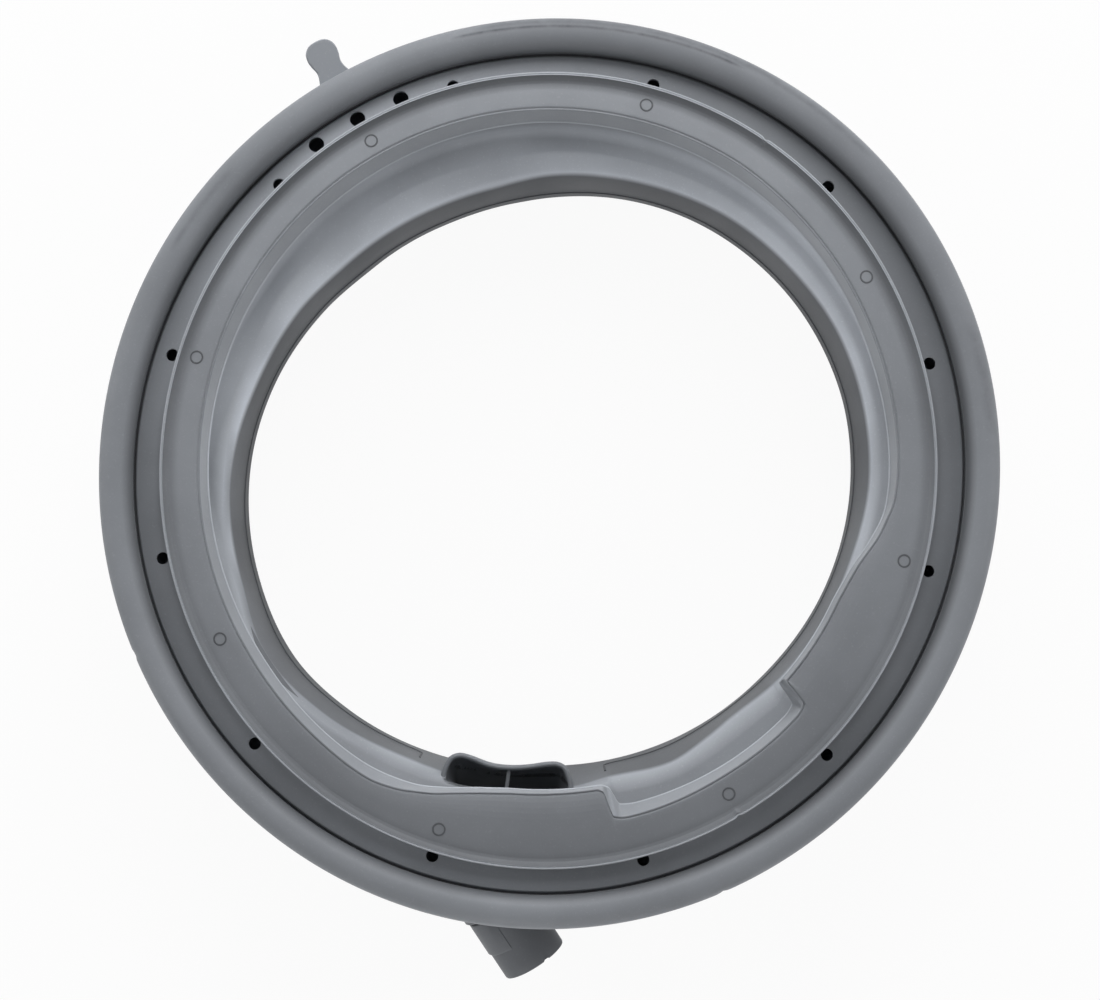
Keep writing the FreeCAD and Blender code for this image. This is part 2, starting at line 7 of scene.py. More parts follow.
import bmesh
import bpy
import numpy as np
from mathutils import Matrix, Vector


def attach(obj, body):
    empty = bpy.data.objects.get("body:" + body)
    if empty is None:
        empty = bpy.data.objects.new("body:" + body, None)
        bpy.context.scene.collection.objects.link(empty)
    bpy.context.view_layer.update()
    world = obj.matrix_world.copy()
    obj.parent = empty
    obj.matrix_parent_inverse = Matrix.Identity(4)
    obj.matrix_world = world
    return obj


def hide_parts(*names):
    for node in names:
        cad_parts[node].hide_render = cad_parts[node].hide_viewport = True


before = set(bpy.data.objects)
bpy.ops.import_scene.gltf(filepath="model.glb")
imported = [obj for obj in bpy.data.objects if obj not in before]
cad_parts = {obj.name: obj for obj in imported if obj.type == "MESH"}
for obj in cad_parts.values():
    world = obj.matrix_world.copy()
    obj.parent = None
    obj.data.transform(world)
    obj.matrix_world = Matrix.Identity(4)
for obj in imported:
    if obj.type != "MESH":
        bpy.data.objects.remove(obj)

# Washing machine door gasket: one moulded ring of grey rubber, seen from its front.
# Sizes are in millimetres and become metres in the meshes. Angles run clockwise from +Y.

log = logging.getLogger("door_gasket")

MILLIMETRE = 0.001
NODE = "door_gasket"

Point = tuple[float, float]
Colour = tuple[float, float, float]
Tint = Colour | bpy.types.NodeSocket
Profile = Callable[[float], "list[Point]"]


@dataclass(frozen=True)
class Harmonic:
    """One wave of a ring that isn't quite round.

    Args:
        order: waves in one turn.
        amplitude: height of the wave in millimetres.
        phase: angle of a crest in degrees.
    """

    order: int
    amplitude: float
    phase: float


@dataclass(frozen=True)
class OvalRadius:
    """A radius that changes gently round the ring.

    Args:
        mean: mean radius in millimetres.
        waves: the harmonics that are added to it.
    """

    mean: float
    waves: tuple[Harmonic, ...] = ()

    def at(self, angle: float) -> float:
        """Gives the radius at an angle.

        Args:
            angle: clockwise angle in degrees.

        Returns:
            The radius in millimetres.
        """
        total = self.mean
        for wave in self.waves:
            total += wave.amplitude * math.cos(math.radians(wave.order * (angle - wave.phase)))
        return total


@dataclass(frozen=True)
class Stations:
    """A value given at places round the ring, with a smooth run between them.

    Args:
        places: pairs of angle and value, in rising order of angle.
    """

    places: tuple[Point, ...]

    def at(self, angle: float) -> float:
        """Gives the value at an angle, with no overshoot between the places.

        Args:
            angle: clockwise angle in degrees.

        Returns:
            The value there.
        """
        angle %= 360.0
        count = len(self.places)
        index = count - 1
        for number, (place, _) in enumerate(self.places):
            if place > angle:
                index = number - 1
                break
        before, start, end, after = (self._place(index + step) for step in (-1, 0, 1, 2))
        if angle < start[0] - 180.0:
            angle += 360.0
        if angle > end[0]:
            angle -= 360.0
        width = end[0] - start[0]
        share = (angle - start[0]) / width
        slope = (end[1] - start[1]) / width
        first = self._slope((start[1] - before[1]) / (start[0] - before[0]), slope) * width
        last = self._slope(slope, (after[1] - end[1]) / (after[0] - end[0])) * width
        square, cube = share * share, share**3
        return (
            (2 * cube - 3 * square + 1) * start[1]
            + (cube - 2 * square + share) * first
            + (3 * square - 2 * cube) * end[1]
            + (cube - square) * last
        )

    def _place(self, index: int) -> Point:
        """Gives a place by its number, going on round the ring past either end.

        Args:
            index: number of the place, also below 0 or past the last.

        Returns:
            Its angle and value.
        """
        turn, number = divmod(index, len(self.places))
        angle, value = self.places[number]
        return angle + 360.0 * turn, value

    @staticmethod
    def _slope(left: float, right: float) -> float:
        """Joins the slopes on both sides of a place into one that doesn't overshoot.

        Args:
            left: slope before the place.
            right: slope after it.

        Returns:
            The slope at the place.
        """
        if left * right <= 0:
            return 0.0
        return 2 * left * right / (left + right)


@dataclass(frozen=True)
class Corner:
    """A corner of a section.

    Args:
        radius: distance from the ring's axis in millimetres.
        height: height above the collar's rim in millimetres.
        rounding: radius of the corner's rounding in millimetres.
    """

    radius: float
    height: float
    rounding: float = 0.4


def rounded(corners: Sequence[Corner], steps: int, closed: bool = True) -> list[Point]:
    """Rounds the corners of a section.

    Args:
        corners: the corners in order.
        steps: pieces of each rounding.
        closed: whether the last corner joins the first.

    Returns:
        The points of the section, always the same number for the same corners.
    """
    points: list[Point] = []
    count = len(corners)
    for index, corner in enumerate(corners):
        if not closed and index in (0, count - 1):
            points.append((corner.radius, corner.height))
            continue
        here = np.array((corner.radius, corner.height))
        before = corners[index - 1]
        after = corners[(index + 1) % count]
        back = np.array((before.radius, before.height)) - here
        onward = np.array((after.radius, after.height)) - here
        back_length, onward_length = np.linalg.norm(back), np.linalg.norm(onward)
        back, onward = back / back_length, onward / onward_length
        half = math.acos(max(-1.0, min(1.0, float(back @ onward)))) / 2
        setback = min(corner.rounding / math.tan(half), 0.48 * back_length, 0.48 * onward_length)
        weight = math.sin(half)
        start, end = here + back * setback, here + onward * setback
        for step in range(steps + 1):
            t = step / steps
            a, b, c = (1 - t) ** 2, 2 * t * (1 - t) * weight, t * t
            point = (a * start + b * here + c * end) / (a + b + c)
            points.append((float(point[0]), float(point[1])))
    return points


def wall_section(path: Sequence[Point], thickness: float, cap: int = 4) -> list[Point]:
    """Gives the closed section of a wall of one thickness with round ends.

    Args:
        path: points along the middle of the wall.
        thickness: thickness in millimetres.
        cap: pieces of each round end.

    Returns:
        The closed section.
    """
    line = np.array(path)
    along = np.gradient(line, axis=0)
    along /= np.linalg.norm(along, axis=1)[:, None]
    side = np.stack((-along[:, 1], along[:, 0]), axis=1)
    half = thickness / 2
    points = [tuple(p) for p in line + side * half]
    for index, sign in ((-1, 1.0), (0, -1.0)):
        for step in range(1, cap):
            turn = math.pi * step / cap
            offset = side[index] * math.cos(turn) * sign + along[index] * math.sin(turn) * sign
            points.append(tuple(line[index] + offset * half))
        if index == -1:
            points.extend(tuple(p) for p in (line - side * half)[::-1])
    return [(float(x), float(y)) for x, y in points]


def around(radius: float, angle: float, height: float) -> Vector:
    """Gives the point at a radius, a clockwise angle and a height, in metres."""
    turn = math.radians(angle)
    return Vector((radius * math.sin(turn), radius * math.cos(turn), height)) * MILLIMETRE


def columns(step: float, fine: Sequence[tuple[float, float, float]] = ()) -> list[float]:
    """Gives the angles of a sweep's columns, closer together in some stretches.

    Args:
        step: usual step in degrees.
        fine: stretches as start, end and step.

    Returns:
        The angles, rising from 0.
    """
    angles: list[float] = []
    angle = 0.0
    while angle < 360.0 - 1e-6:
        angles.append(angle)
        smaller = [each for start, end, each in fine if start <= angle < end]
        angle = round(angle + (smaller[0] if smaller else step), 6)
    return angles


class Moulding:
    """Makes meshes and objects that belong to the gasket."""

    def __init__(self, material: bpy.types.Material) -> None:
        """Keeps the material for every piece."""
        self.material = material
        self.made: list[bpy.types.Object] = []

    def piece(self, name: str, vertices: Sequence, faces: Sequence, sharp: float = 38.0) -> bpy.types.Object:
        """Makes one piece from vertices and faces.

        Args:
            name: the piece's name.
            vertices: positions in metres.
            faces: tuples of vertex numbers.
            sharp: angle in degrees from which an edge looks sharp.

        Returns:
            The new object.
        """
        mesh = bpy.data.meshes.new(name)
        mesh.from_pydata([tuple(v) for v in vertices], [], [tuple(f) for f in faces])
        work = bmesh.new()
        work.from_mesh(mesh)
        bmesh.ops.recalc_face_normals(work, faces=work.faces)
        work.to_mesh(mesh)
        work.free()
        return self.adopt(name, mesh, sharp)

    def adopt(self, name: str, mesh: bpy.types.Mesh, sharp: float = 38.0) -> bpy.types.Object:
        """Puts a finished mesh into the scene with the rubber on it.

        Args:
            name: the piece's name.
            mesh: the finished mesh.
            sharp: angle in degrees from which an edge looks sharp.

        Returns:
            The new object.
        """
        mesh.materials.clear()
        mesh.materials.append(self.material)
        mesh.shade_smooth()
        mesh.set_sharp_from_angle(angle=math.radians(sharp))
        item = bpy.data.objects.new(name, mesh)
        bpy.context.scene.collection.objects.link(item)
        self.made.append(item)
        return item

    def swept(self, name: str, profile: Profile, angles: Sequence[float]) -> bpy.types.Object:
        """Sweeps a section all the way round the axis.

        Args:
            name: the piece's name.
            profile: gives the closed section at an angle.
            angles: the angles of the columns.

        Returns:
            The new object.
        """
        sections = [profile(angle) for angle in angles]
        size = len(sections[0])
        vertices = [
            around(radius, angle, height)
            for angle, section in zip(angles, sections)
            for radius, height in section
        ]
        faces: list[tuple[int, ...]] = []
        count = len(angles)
        for column in range(count):
            here, there = column * size, ((column + 1) % count) * size
            for row in range(size):
                after = (row + 1) % size
                faces.append((here + row, here + after, there + after, there + row))
        return self.piece(name, vertices, faces)

    def lofted(self, name: str, loops: Sequence[Sequence[Vector]], capped: bool = False) -> bpy.types.Object:
        """Joins closed loops of the same number of points.

        Args:
            name: the piece's name.
            loops: the loops in order.
            capped: close the ends with faces, or else join the last loop to the first.

        Returns:
            The new object.
        """
        size = len(loops[0])
        vertices = [point for loop in loops for point in loop]
        faces: list[tuple[int, ...]] = []
        count = len(loops)
        for number in range(count - 1 if capped else count):
            here, there = number * size, ((number + 1) % count) * size
            for row in range(size):
                after = (row + 1) % size
                faces.append((here + row, here + after, there + after, there + row))
        if capped:
            faces.append(tuple(range(size)))
            faces.append(tuple(range((count - 1) * size, count * size))[::-1])
        return self.piece(name, vertices, faces)

    def cut(
        self, item: bpy.types.Object, cutters: Sequence[bpy.types.Object], flat: bool = False
    ) -> bpy.types.Object:
        """Cuts holes in a piece and leaves the cutters out of the scene.

        Args:
            item: the piece that is cut.
            cutters: solids that are taken away from it.
            flat: shade the piece flat, for a wall whose columns are close together.

        Returns:
            The piece with its cut mesh.
        """
        for cutter in cutters:
            change = item.modifiers.new("cut", "BOOLEAN")
            change.operation = "DIFFERENCE"
            change.solver = "EXACT"
            change.object = cutter
        bpy.context.view_layer.update()
        graph = bpy.context.evaluated_depsgraph_get()
        mesh = bpy.data.meshes.new_from_object(item.evaluated_get(graph))
        item.modifiers.clear()
        old = item.data
        item.data = mesh
        bpy.data.meshes.remove(old)
        mesh.materials.clear()
        mesh.materials.append(self.material)
        if flat:
            mesh.shade_flat()
        for cutter in cutters:
            self.made.remove(cutter)
            bpy.data.objects.remove(cutter)
        return item


@dataclass
class RingSizes:
    """The outlines that all parts of the ring share, as they lie in the loose gasket."""

    depth: float = 92.0
    bead: OvalRadius = OvalRadius(
        201.0, (Harmonic(1, 0.66, 165), Harmonic(2, 1.66, 25), Harmonic(3, 0.22, 44))
    )
    crease: OvalRadius = OvalRadius(
        186.0, (Harmonic(1, 0.59, 171), Harmonic(2, 1.63, 27), Harmonic(3, 0.15, 39))
    )
    lip_edge: OvalRadius = OvalRadius(174.3, (Harmonic(1, 0.6, 310), Harmonic(2, 2.24, 9)))
    face_edge: Stations = Stations((
        (0, 160.0), (30, 159.4), (40, 158.1), (52, 156.7), (70, 154.9), (90, 153.7), (95, 152.6),
        (98, 150.4), (101, 148.2), (104, 145.1), (107, 142.4), (111, 140.5), (115, 139.6),
        (131.3, 139.5), (132.4, 151.8), (134.6, 153.6), (150, 154.7), (167, 156.2),
        (169.4, 154.8), (170.5, 143.4), (171.7, 142.0), (186, 142.9), (191, 144.5), (194, 146.2),
        (197, 148.4), (200, 151.1), (203, 153.3), (206, 155.5), (211, 157.3), (222, 156.2),
        (242, 155.0), (270, 154.8), (300, 156.7), (330, 158.8),
    ))
    skirt_edge: Stations = Stations((
        (0, 156.5), (20, 156.4), (40, 155.3), (60, 153.4), (70, 152.1), (90, 151.3), (96, 150.2),
        (102, 145.6), (108, 140.4), (115, 138.1), (132.2, 137.9), (133.6, 149.2), (136, 150.5),
        (165, 151.5), (167.9, 150.6), (169.4, 142.2), (171, 140.6), (186, 141.2), (192, 143.0),
        (198, 147.0), (204, 151.0), (213, 153.0), (240, 151.6), (285, 152.5), (315, 153.9),
        (345, 155.7),
    ))
    crest: Stations = Stations((
        (0, 137.3), (13, 139.5), (26, 142.0), (34, 143.6), (49, 145.3), (64, 146.9), (89, 145.6),
        (107, 141.8), (131, 138.9), (142, 136.8), (149, 138.3), (157, 140.6), (168, 138.6),
        (176, 141.0), (205, 142.7), (224, 148.7), (238, 152.2), (251, 148.1), (266, 146.2),
        (276, 143.6), (288, 140.1), (304, 136.8), (316, 134.1), (336, 133.1), (348, 134.0),
    ))
    crest_height: Stations = Stations((
        (3, 51.8), (30, 50.6), (60, 49.6), (85, 48.6), (110, 46.8), (150, 46.6), (180, 45.8),
        (205, 45.8), (240, 47.0), (262, 46.2), (272, 48.2), (290, 47.4), (305, 49.8), (318, 49.4),
        (336, 51.4), (350, 50.4),
    ))
    rear_edge: Stations = Stations((
        (0, 130.1), (14, 133.5), (29, 136.4), (44, 138.2), (58, 139.3), (73, 139.6), (88, 138.4),
        (110, 135.7), (136, 132.2), (175, 130.7), (200, 135.2), (221, 139.6), (236, 142.2),
        (252, 140.5), (272, 137.5), (289, 133.8), (307, 129.5), (321, 126.9), (336, 126.9),
        (353, 128.6),
    ))
    rear_height: float = 25.6


RING = RingSizes()


@dataclass
class Bead:
    """The fat front bead with the slot behind it for the panel's edge."""

    nose_height: float = 8.2
    fullness: float = 2.15
    flap_end: float = 74.0
    flap_thickness: float = 3.4
    slot_inner: float = 190.4
    slot_top: float = 82.5
    nose_steps: int = 44
    root_inner: float = 188.0
    root_low: float = 71.0
    root_high: float = 80.0
    nicks: tuple[float, ...] = (157.5, 246.2)
    nick_depth: float = 0.55
    nick_reach: float = 0.45
    step: float = 0.5

    def section(self, angle: float) -> list[Point]:
        """Gives the bead's section, with the small nicks in its outer edge.

        Args:
            angle: clockwise angle in degrees.

        Returns:
            The closed section.
        """
        outer, inner = RING.bead.at(angle), RING.crease.at(angle)
        for nick in self.nicks:
            outer -= self.nick_depth * math.exp(-(((angle - nick) / self.nick_reach) ** 2))
        middle, half = (outer + inner) / 2, (outer - inner) / 2
        base = RING.depth - self.nose_height
        nose: list[Point] = []
        for step in range(self.nose_steps + 1):
            turn = math.pi * (1 - step / self.nose_steps)
            across, up = math.cos(turn), math.sin(turn)
            power = 2 / self.fullness
            x = math.copysign(abs(across) ** power, across)
            nose.append((middle + half * x, base + self.nose_height * up**power))
        slot_outer = outer - self.flap_thickness
        rest = rounded(
            (
                Corner(outer, self.flap_end, 1.5),
                Corner(slot_outer, self.flap_end, 1.5),
                Corner(slot_outer, self.slot_top, 0.8),
                Corner(self.slot_inner, self.slot_top, 0.8),
                Corner(self.slot_inner, self.root_low, 0.3),
                Corner(self.root_inner, self.root_low, 0.3),
                Corner(inner + 0.6, self.root_high - 2.0, 1.0),
                Corner(inner, self.root_high, 0.3),
            ),
            4,
        )
        return nose + rest

    def build(self, moulding: Moulding) -> bpy.types.Object:
        """Makes the bead."""
        return moulding.swept("bead", self.section, columns(self.step))


@dataclass
class Channel:
    """The recessed floor between bead and lip, with its drain and vent holes."""

    wall: float = 2.6
    outer_height: float = 81.2
    inner_radius: float = 169.4
    inner_height: float = 84.6
    groove_width: float = 1.3
    groove_depth: float = 2.2
    hole_radius: float = 2.75
    hole_sides: int = 28
    hole_circle: Stations = Stations((
        (15, 178.2), (44, 177.3), (74, 175.6), (104, 173.9), (135, 175.8), (166, 177.1),
        (197, 178.2), (227, 177.9), (258, 176.0), (287, 175.5), (317, 175.5), (346, 176.8),
    ))
    hole_places: tuple[float, ...] = (
        15, 44.3, 74, 104.6, 135.5, 166.4, 197, 227.4, 257.5, 287.3, 316.8, 346,
    )
    vent_radius: float = 3.5
    vent_circle: float = 178.8
    vent_places: tuple[float, ...] = (324.6, 331.5, 338.3)
    tuck: float = 1.5
    neck: float = 2.6
    step: float = 0.75

    def section(self, angle: float) -> list[Point]:
        """Gives the floor's section, with the narrow groove at the bead's foot.

        Args:
            angle: clockwise angle in degrees.

        Returns:
            The closed section.
        """
        crease = RING.crease.at(angle)
        outer = crease + self.tuck
        shift = RING.lip_edge.at(angle) - RING.lip_edge.mean
        inner = self.inner_radius + shift
        groove = self.outer_height - self.groove_depth
        return rounded(
            (
                Corner(outer, groove, 0.3),
                Corner(crease - self.groove_width * 0.4, groove, 0.3),
                Corner(crease - self.groove_width, self.outer_height, 0.8),
                Corner(inner, self.inner_height, 1.0),
                Corner(inner - self.neck, self.inner_height + 0.6, 0.3),
                Corner(inner - self.neck, self.inner_height - self.wall, 1.4),
                Corner(crease - 4.0, self.outer_height - self.wall + 0.8, 2.0),
                Corner(outer, groove - self.wall * 0.8, 0.3),
            ),
            3,
        )

    def cutter(
        self, moulding: Moulding, name: str, circle: float, angle: float, radius: float
    ) -> bpy.types.Object:
        """Makes the rod that cuts one hole.

        Args:
            moulding: makes the mesh.
            name: the rod's name.
            circle: radius of the circle on which the hole stands, in millimetres.
            angle: clockwise angle of the hole in degrees.
            radius: the hole's radius in millimetres.

        Returns:
            The rod.
        """
        centre = around(circle, angle, 0.0)
        loops = []
        for height in (self.outer_height - self.wall * 2, self.inner_height + self.wall):
            loop = []
            for step in range(self.hole_sides):
                turn = math.radians(step * 360 / self.hole_sides)
                spoke = Vector((radius * math.cos(turn), radius * math.sin(turn), height))
                loop.append(centre + spoke * MILLIMETRE)
            loops.append(loop)
        return moulding.lofted(name, loops, capped=True)

    def build(self, moulding: Moulding) -> bpy.types.Object:
        """Makes the floor and cuts its holes.

        Args:
            moulding: makes the meshes.

        Returns:
            The floor.
        """
        floor = moulding.swept("channel_floor", self.section, columns(self.step))
        rods = [
            self.cutter(moulding, f"drain_{number}", self.hole_circle.at(angle), angle, self.hole_radius)
            for number, angle in enumerate(self.hole_places)
        ]
        rods += [
            self.cutter(moulding, f"vent_{number}", self.vent_circle, angle, self.vent_radius)
            for number, angle in enumerate(self.vent_places)
        ]
        return moulding.cut(floor, rods, flat=True)


@dataclass
class Lip:
    """The lip: thin free edge, gutter, broad face with two ledges, and the skirt."""

    wall: float = 2.4
    edge_height: float = 88.5
    gutter_height: float = 86.1
    gutter_inset: float = 4.6
    rim_width: float = 1.2
    rim_flank: float = 3.2
    edge_line: float = 0.8
    foot_inset: float = 7.2
    foot_height: float = 86.6
    slope: float = 0.25
    crown: float = 0.0047
    skirt_height: float = 75.7
    face_steps: int = 10
    shoulder: Stations = Stations((
        (0, 3.0), (88, 3.5), (104, 8.0), (118, 11.0), (130.8, 11.0), (132.6, 3.5), (168, 3.5),
        (170.8, 9.0), (176, 11.0), (192, 11.0), (208, 8.0), (225, 6.0), (260, 4.5), (300, 3.0),
    ))
    shoulder_drop: Stations = Stations((
        (0, 0.35), (88, 0.5), (104, 1.6), (118, 2.2), (130.8, 2.2), (132.6, 0.6), (168, 0.6),
        (170.8, 1.8), (176, 2.2), (192, 2.2), (208, 1.6), (225, 1.1), (260, 0.7), (300, 0.35),
    ))
    mark_places: tuple[Point, ...] = (
        (14.8, 168.1), (58.4, 164.9), (104.1, 162.0), (150.9, 163.3),
        (197.2, 165.8), (243.1, 163.7), (288.0, 164.4), (331.7, 166.6),
    )
    mark_radius: float = 2.65
    mark_line: float = 0.4
    mark_steps: int = 36
    mark_sides: int = 8
    mark_flat: float = 0.8
    mark_sink: float = 0.1
    nicks: tuple[float, ...] = (33.0, 151.2)
    nick_depth: float = 0.7
    nick_reach: float = 0.35
    step: float = 0.5
    fine: tuple[tuple[float, float, float], ...] = (
        (30, 36, 0.15), (94, 112, 0.35), (129.5, 136, 0.08), (149, 153, 0.15), (166.5, 173, 0.08),
    )

    def face_height(self, angle: float, radius: float) -> float:
        """Gives the height of the face.

        Args:
            angle: clockwise angle in degrees.
            radius: distance from the axis in millimetres.

        Returns:
            The height in millimetres.
        """
        inward = RING.lip_edge.at(angle) - self.foot_inset - radius
        height = self.foot_height + self.slope * inward - self.crown * inward * inward
        into = RING.face_edge.at(angle) + self.shoulder.at(angle) - radius
        if into > 0:
            height -= self.shoulder_drop.at(angle) * (into / self.shoulder.at(angle)) ** 2
        return height

    def edge_radius(self, angle: float) -> float:
        """Gives the free edge's radius, with its small nicks.

        Args:
            angle: clockwise angle in degrees.

        Returns:
            The radius in millimetres.
        """
        radius = RING.lip_edge.at(angle)
        for nick in self.nicks:
            radius -= self.nick_depth * math.exp(-(((angle - nick) / self.nick_reach) ** 2))
        return radius

    def section(self, angle: float) -> list[Point]:
        """Gives the lip's section, from the rim over gutter and face down to the skirt.

        Args:
            angle: clockwise angle in degrees.

        Returns:
            The closed section.
        """
        free, oval = self.edge_radius(angle), RING.lip_edge.at(angle)
        edge, skirt = RING.face_edge.at(angle), RING.skirt_edge.at(angle)
        foot = oval - self.foot_inset
        face: list[Corner] = []
        border = edge + self.edge_line * 2
        for step in range(1, self.face_steps + 1):
            radius = foot + (border - foot) * step / self.face_steps
            face.append(Corner(radius, self.face_height(angle, radius), 0.6))
        back = [
            Corner(corner.radius + 0.8, corner.height - self.wall, 1.0)
            for corner in reversed(face[3:-1:3])
        ]
        brink = Corner(edge, self.face_height(angle, edge))
        front = [
            Corner(free + 0.2, self.edge_height - 1.7, 0.4),
            Corner(free + 0.1, self.edge_height, 0.3),
            Corner(free - 0.45, self.edge_height, 0.25),
            Corner(free - 0.75, self.edge_height - 0.45, 0.15),
            Corner(free - self.rim_width, self.edge_height - 0.1, 0.3),
            Corner(free - self.rim_flank, self.gutter_height + 0.2, 0.8),
            Corner(oval - self.gutter_inset, self.gutter_height, 1.2),
            Corner(foot, self.foot_height, 2.5),
            *face,
            Corner(edge + self.edge_line * 1.3, brink.height - 0.55, 0.2),
            Corner(edge + self.edge_line * 0.6, brink.height - 0.1, 0.35),
            Corner(edge, brink.height - 0.35, 0.5),
            Corner(skirt + 0.75, self.skirt_height + 1.3, 0.3),
            Corner(skirt, self.skirt_height + 0.75, 0.35),
            Corner(skirt, self.skirt_height, 0.35),
            Corner(skirt + self.wall, self.skirt_height + 0.2, 0.6),
            Corner(brink.radius + self.wall, brink.height - self.wall, 1.2),
        ]
        underside = [
            Corner(foot, self.foot_height - self.wall, 1.5),
            Corner(oval - self.gutter_inset, self.gutter_height - self.wall, 1.5),
        ]
        return rounded((*front, *back, *underside), 3)

    def mark(self, angle: float, radius: float) -> list[list[Vector]]:
        """Gives the loops of one raised ring mark on the face.

        Args:
            angle: clockwise angle of the mark's middle in degrees.
            radius: its distance from the axis in millimetres.

        Returns:
            The loops round the mark's line.
        """
        loops = []
        for step in range(self.mark_steps):
            turn = math.radians(step * 360 / self.mark_steps)
            loop = []
            for part in range(self.mark_sides):
                swing = math.radians(part * 360 / self.mark_sides)
                reach = self.mark_radius + self.mark_line * math.cos(swing)
                away = radius + reach * math.cos(turn)
                sideways = math.degrees(reach * math.sin(turn) / radius)
                rise = math.sin(swing) * self.mark_flat - self.mark_sink
                height = self.face_height(angle, away) + self.mark_line * rise
                loop.append(around(away, angle + sideways, height))
            loops.append(loop)
        return loops

    def build(self, moulding: Moulding) -> list[bpy.types.Object]:
        """Makes the lip and its ring marks.

        Args:
            moulding: makes the meshes.

        Returns:
            The lip and the marks.
        """
        lip = moulding.swept("lip", self.section, columns(self.step, self.fine))
        marks = [
            moulding.lofted(f"ring_mark_{number}", self.mark(angle, radius))
            for number, (angle, radius) in enumerate(self.mark_places, start=1)
        ]
        return [lip, *marks]


@dataclass
class Bellows:
    """The folded wall behind the bead, and the wavy sleeve that runs to the rear edge."""

    wall: float = 2.4
    steps: int = 6
    rib_inset: float = 4.6
    rib_line: float = 0.5
    rib_turn: float = 9.0
    rib_ends: int = 8
    rib_bend: float = 1.2
    rib_sides: int = 8
    rib_flat: float = 0.8
    rib_steps: int = 400
    patch_start: float = 169.2
    patch_end: float = 205.0
    step: float = 0.6
    root_inset: float = 3.1
    root_height: float = 76.0
    fold_inner: float = 174.4
    fold_height: float = 47.0
    hump_outer: float = 172.2
    hump_inner: float = 162.4
    hump_height: float = 66.5
    sleeve_root: float = 157.4
    valley_radius: float = 156.8
    valley_height: float = 52.6
    swell_share: float = 0.9
    ripple: Stations = Stations((
        (3, 1.2), (16, -0.4), (34, 0.5), (60, 0.0), (110, 0.0), (150, 0.4), (200, 0.0), (232, 0.5),
        (246, 2.6), (258, -1.2), (272, 2.8), (290, -1.6), (305, 2.0), (318, -1.0), (335, 1.0), (351, -0.9),
    ))

    def path(self, angle: float) -> list[Point]:
        """Gives the middle line of the wall, from the bead to the rear edge.

        Args:
            angle: clockwise angle in degrees.

        Returns:
            The points of the line.
        """
        outer = RING.crease.at(angle) + self.root_inset
        crest, crest_height = RING.crest.at(angle), RING.crest_height.at(angle)
        rear = RING.rear_edge.at(angle)
        skirt = RING.skirt_edge.at(angle)
        valley = max(min(skirt + 3.0, self.valley_radius), crest + 9.0)
        sleeve = (self.valley_height + crest_height) / 2 + 0.4 + self.ripple.at(angle) * self.swell_share
        return rounded(
            (
                Corner(outer, self.root_height),
                Corner(outer - 0.6, self.fold_height, 6.8),
                Corner(self.fold_inner, self.fold_height, 6.2),
                Corner(self.hump_outer, self.hump_height, 4.6),
                Corner(self.hump_inner, self.hump_height, 4.6),
                Corner(max(valley, self.sleeve_root), self.valley_height, 6.0),
                Corner((valley + crest) / 2, sleeve, 5.0),
                Corner(crest + 0.6, crest_height - 1.0, 3.6),
                Corner(rear + 1.6, RING.rear_height),
            ),
            self.steps,
            closed=False,
        )

    def section(self, angle: float) -> list[Point]:
        """Gives the wall's closed section at an angle."""
        return wall_section(self.path(angle), self.wall)

    def rear_point(self, angle: float, up: float, out: float) -> Point:
        """Gives a point of the rear cone's front side, a way up the slope and out of it.

        Args:
            angle: clockwise angle in degrees.
            up: distance up the slope from the rear edge in millimetres.
            out: distance out of the surface in millimetres.

        Returns:
            Radius and height in millimetres.
        """
        line = self.path(angle)
        low, high = np.array(line[-1]), np.array(line[-2])
        along = (high - low) / np.linalg.norm(high - low)
        side = np.array((-along[1], along[0]))
        place = low + along * up + side * (self.wall / 2 + out)
        return float(place[0]), float(place[1])

    def rib_line_points(self) -> list[Point]:
        """Gives the way of the rear rib, whose ends turn up beside the mouth.

        Returns:
            Pairs of angle and distance up the slope.
        """
        start, end = self.patch_end, self.patch_start + 360.0
        turn = self.rib_bend
        rise = [self.rib_inset + self.rib_turn * step / self.rib_ends for step in range(self.rib_ends, 0, -1)]
        way = [(start, up) for up in rise]
        for step in range(self.rib_steps + 1):
            angle = start + turn + (end - start - 2 * turn) * step / self.rib_steps
            way.append((angle, self.rib_inset))
        return way + [(end, up) for up in reversed(rise)]

    def rib_loops(self) -> list[list[Vector]]:
        """Gives the loops of the thin raised rib.

        Returns:
            The loops from end to end.
        """
        way = self.rib_line_points()
        line = [np.array(around(*self._turned(angle, up, 0.0))) for angle, up in way]
        lifted = [np.array(around(*self._turned(angle, up, 1.0))) for angle, up in way]
        loops = []
        for index, (here, above) in enumerate(zip(line, lifted)):
            along = line[min(index + 1, len(line) - 1)] - line[max(index - 1, 0)]
            normal = (above - here) / np.linalg.norm(above - here)
            side = np.cross(along, normal)
            side /= np.linalg.norm(side)
            loop = []
            for step in range(self.rib_sides):
                swing = math.radians(step * 360 / self.rib_sides)
                offset = side * math.cos(swing) + normal * (math.sin(swing) * self.rib_flat)
                loop.append(Vector(here + offset * self.rib_line * MILLIMETRE))
            loops.append(loop)
        return loops

    def _turned(self, angle: float, up: float, out: float) -> tuple[float, float, float]:
        """Gives radius, angle and height of a point near the rear cone's front side."""
        radius, height = self.rear_point(angle, up, out)
        return radius, angle, height

    def build(self, moulding: Moulding) -> list[bpy.types.Object]:
        """Makes the folded wall and the rib."""
        wall = moulding.swept("bellows", self.section, columns(self.step))
        return [wall, moulding.lofted("rear_rib", self.rib_loops(), capped=True)]


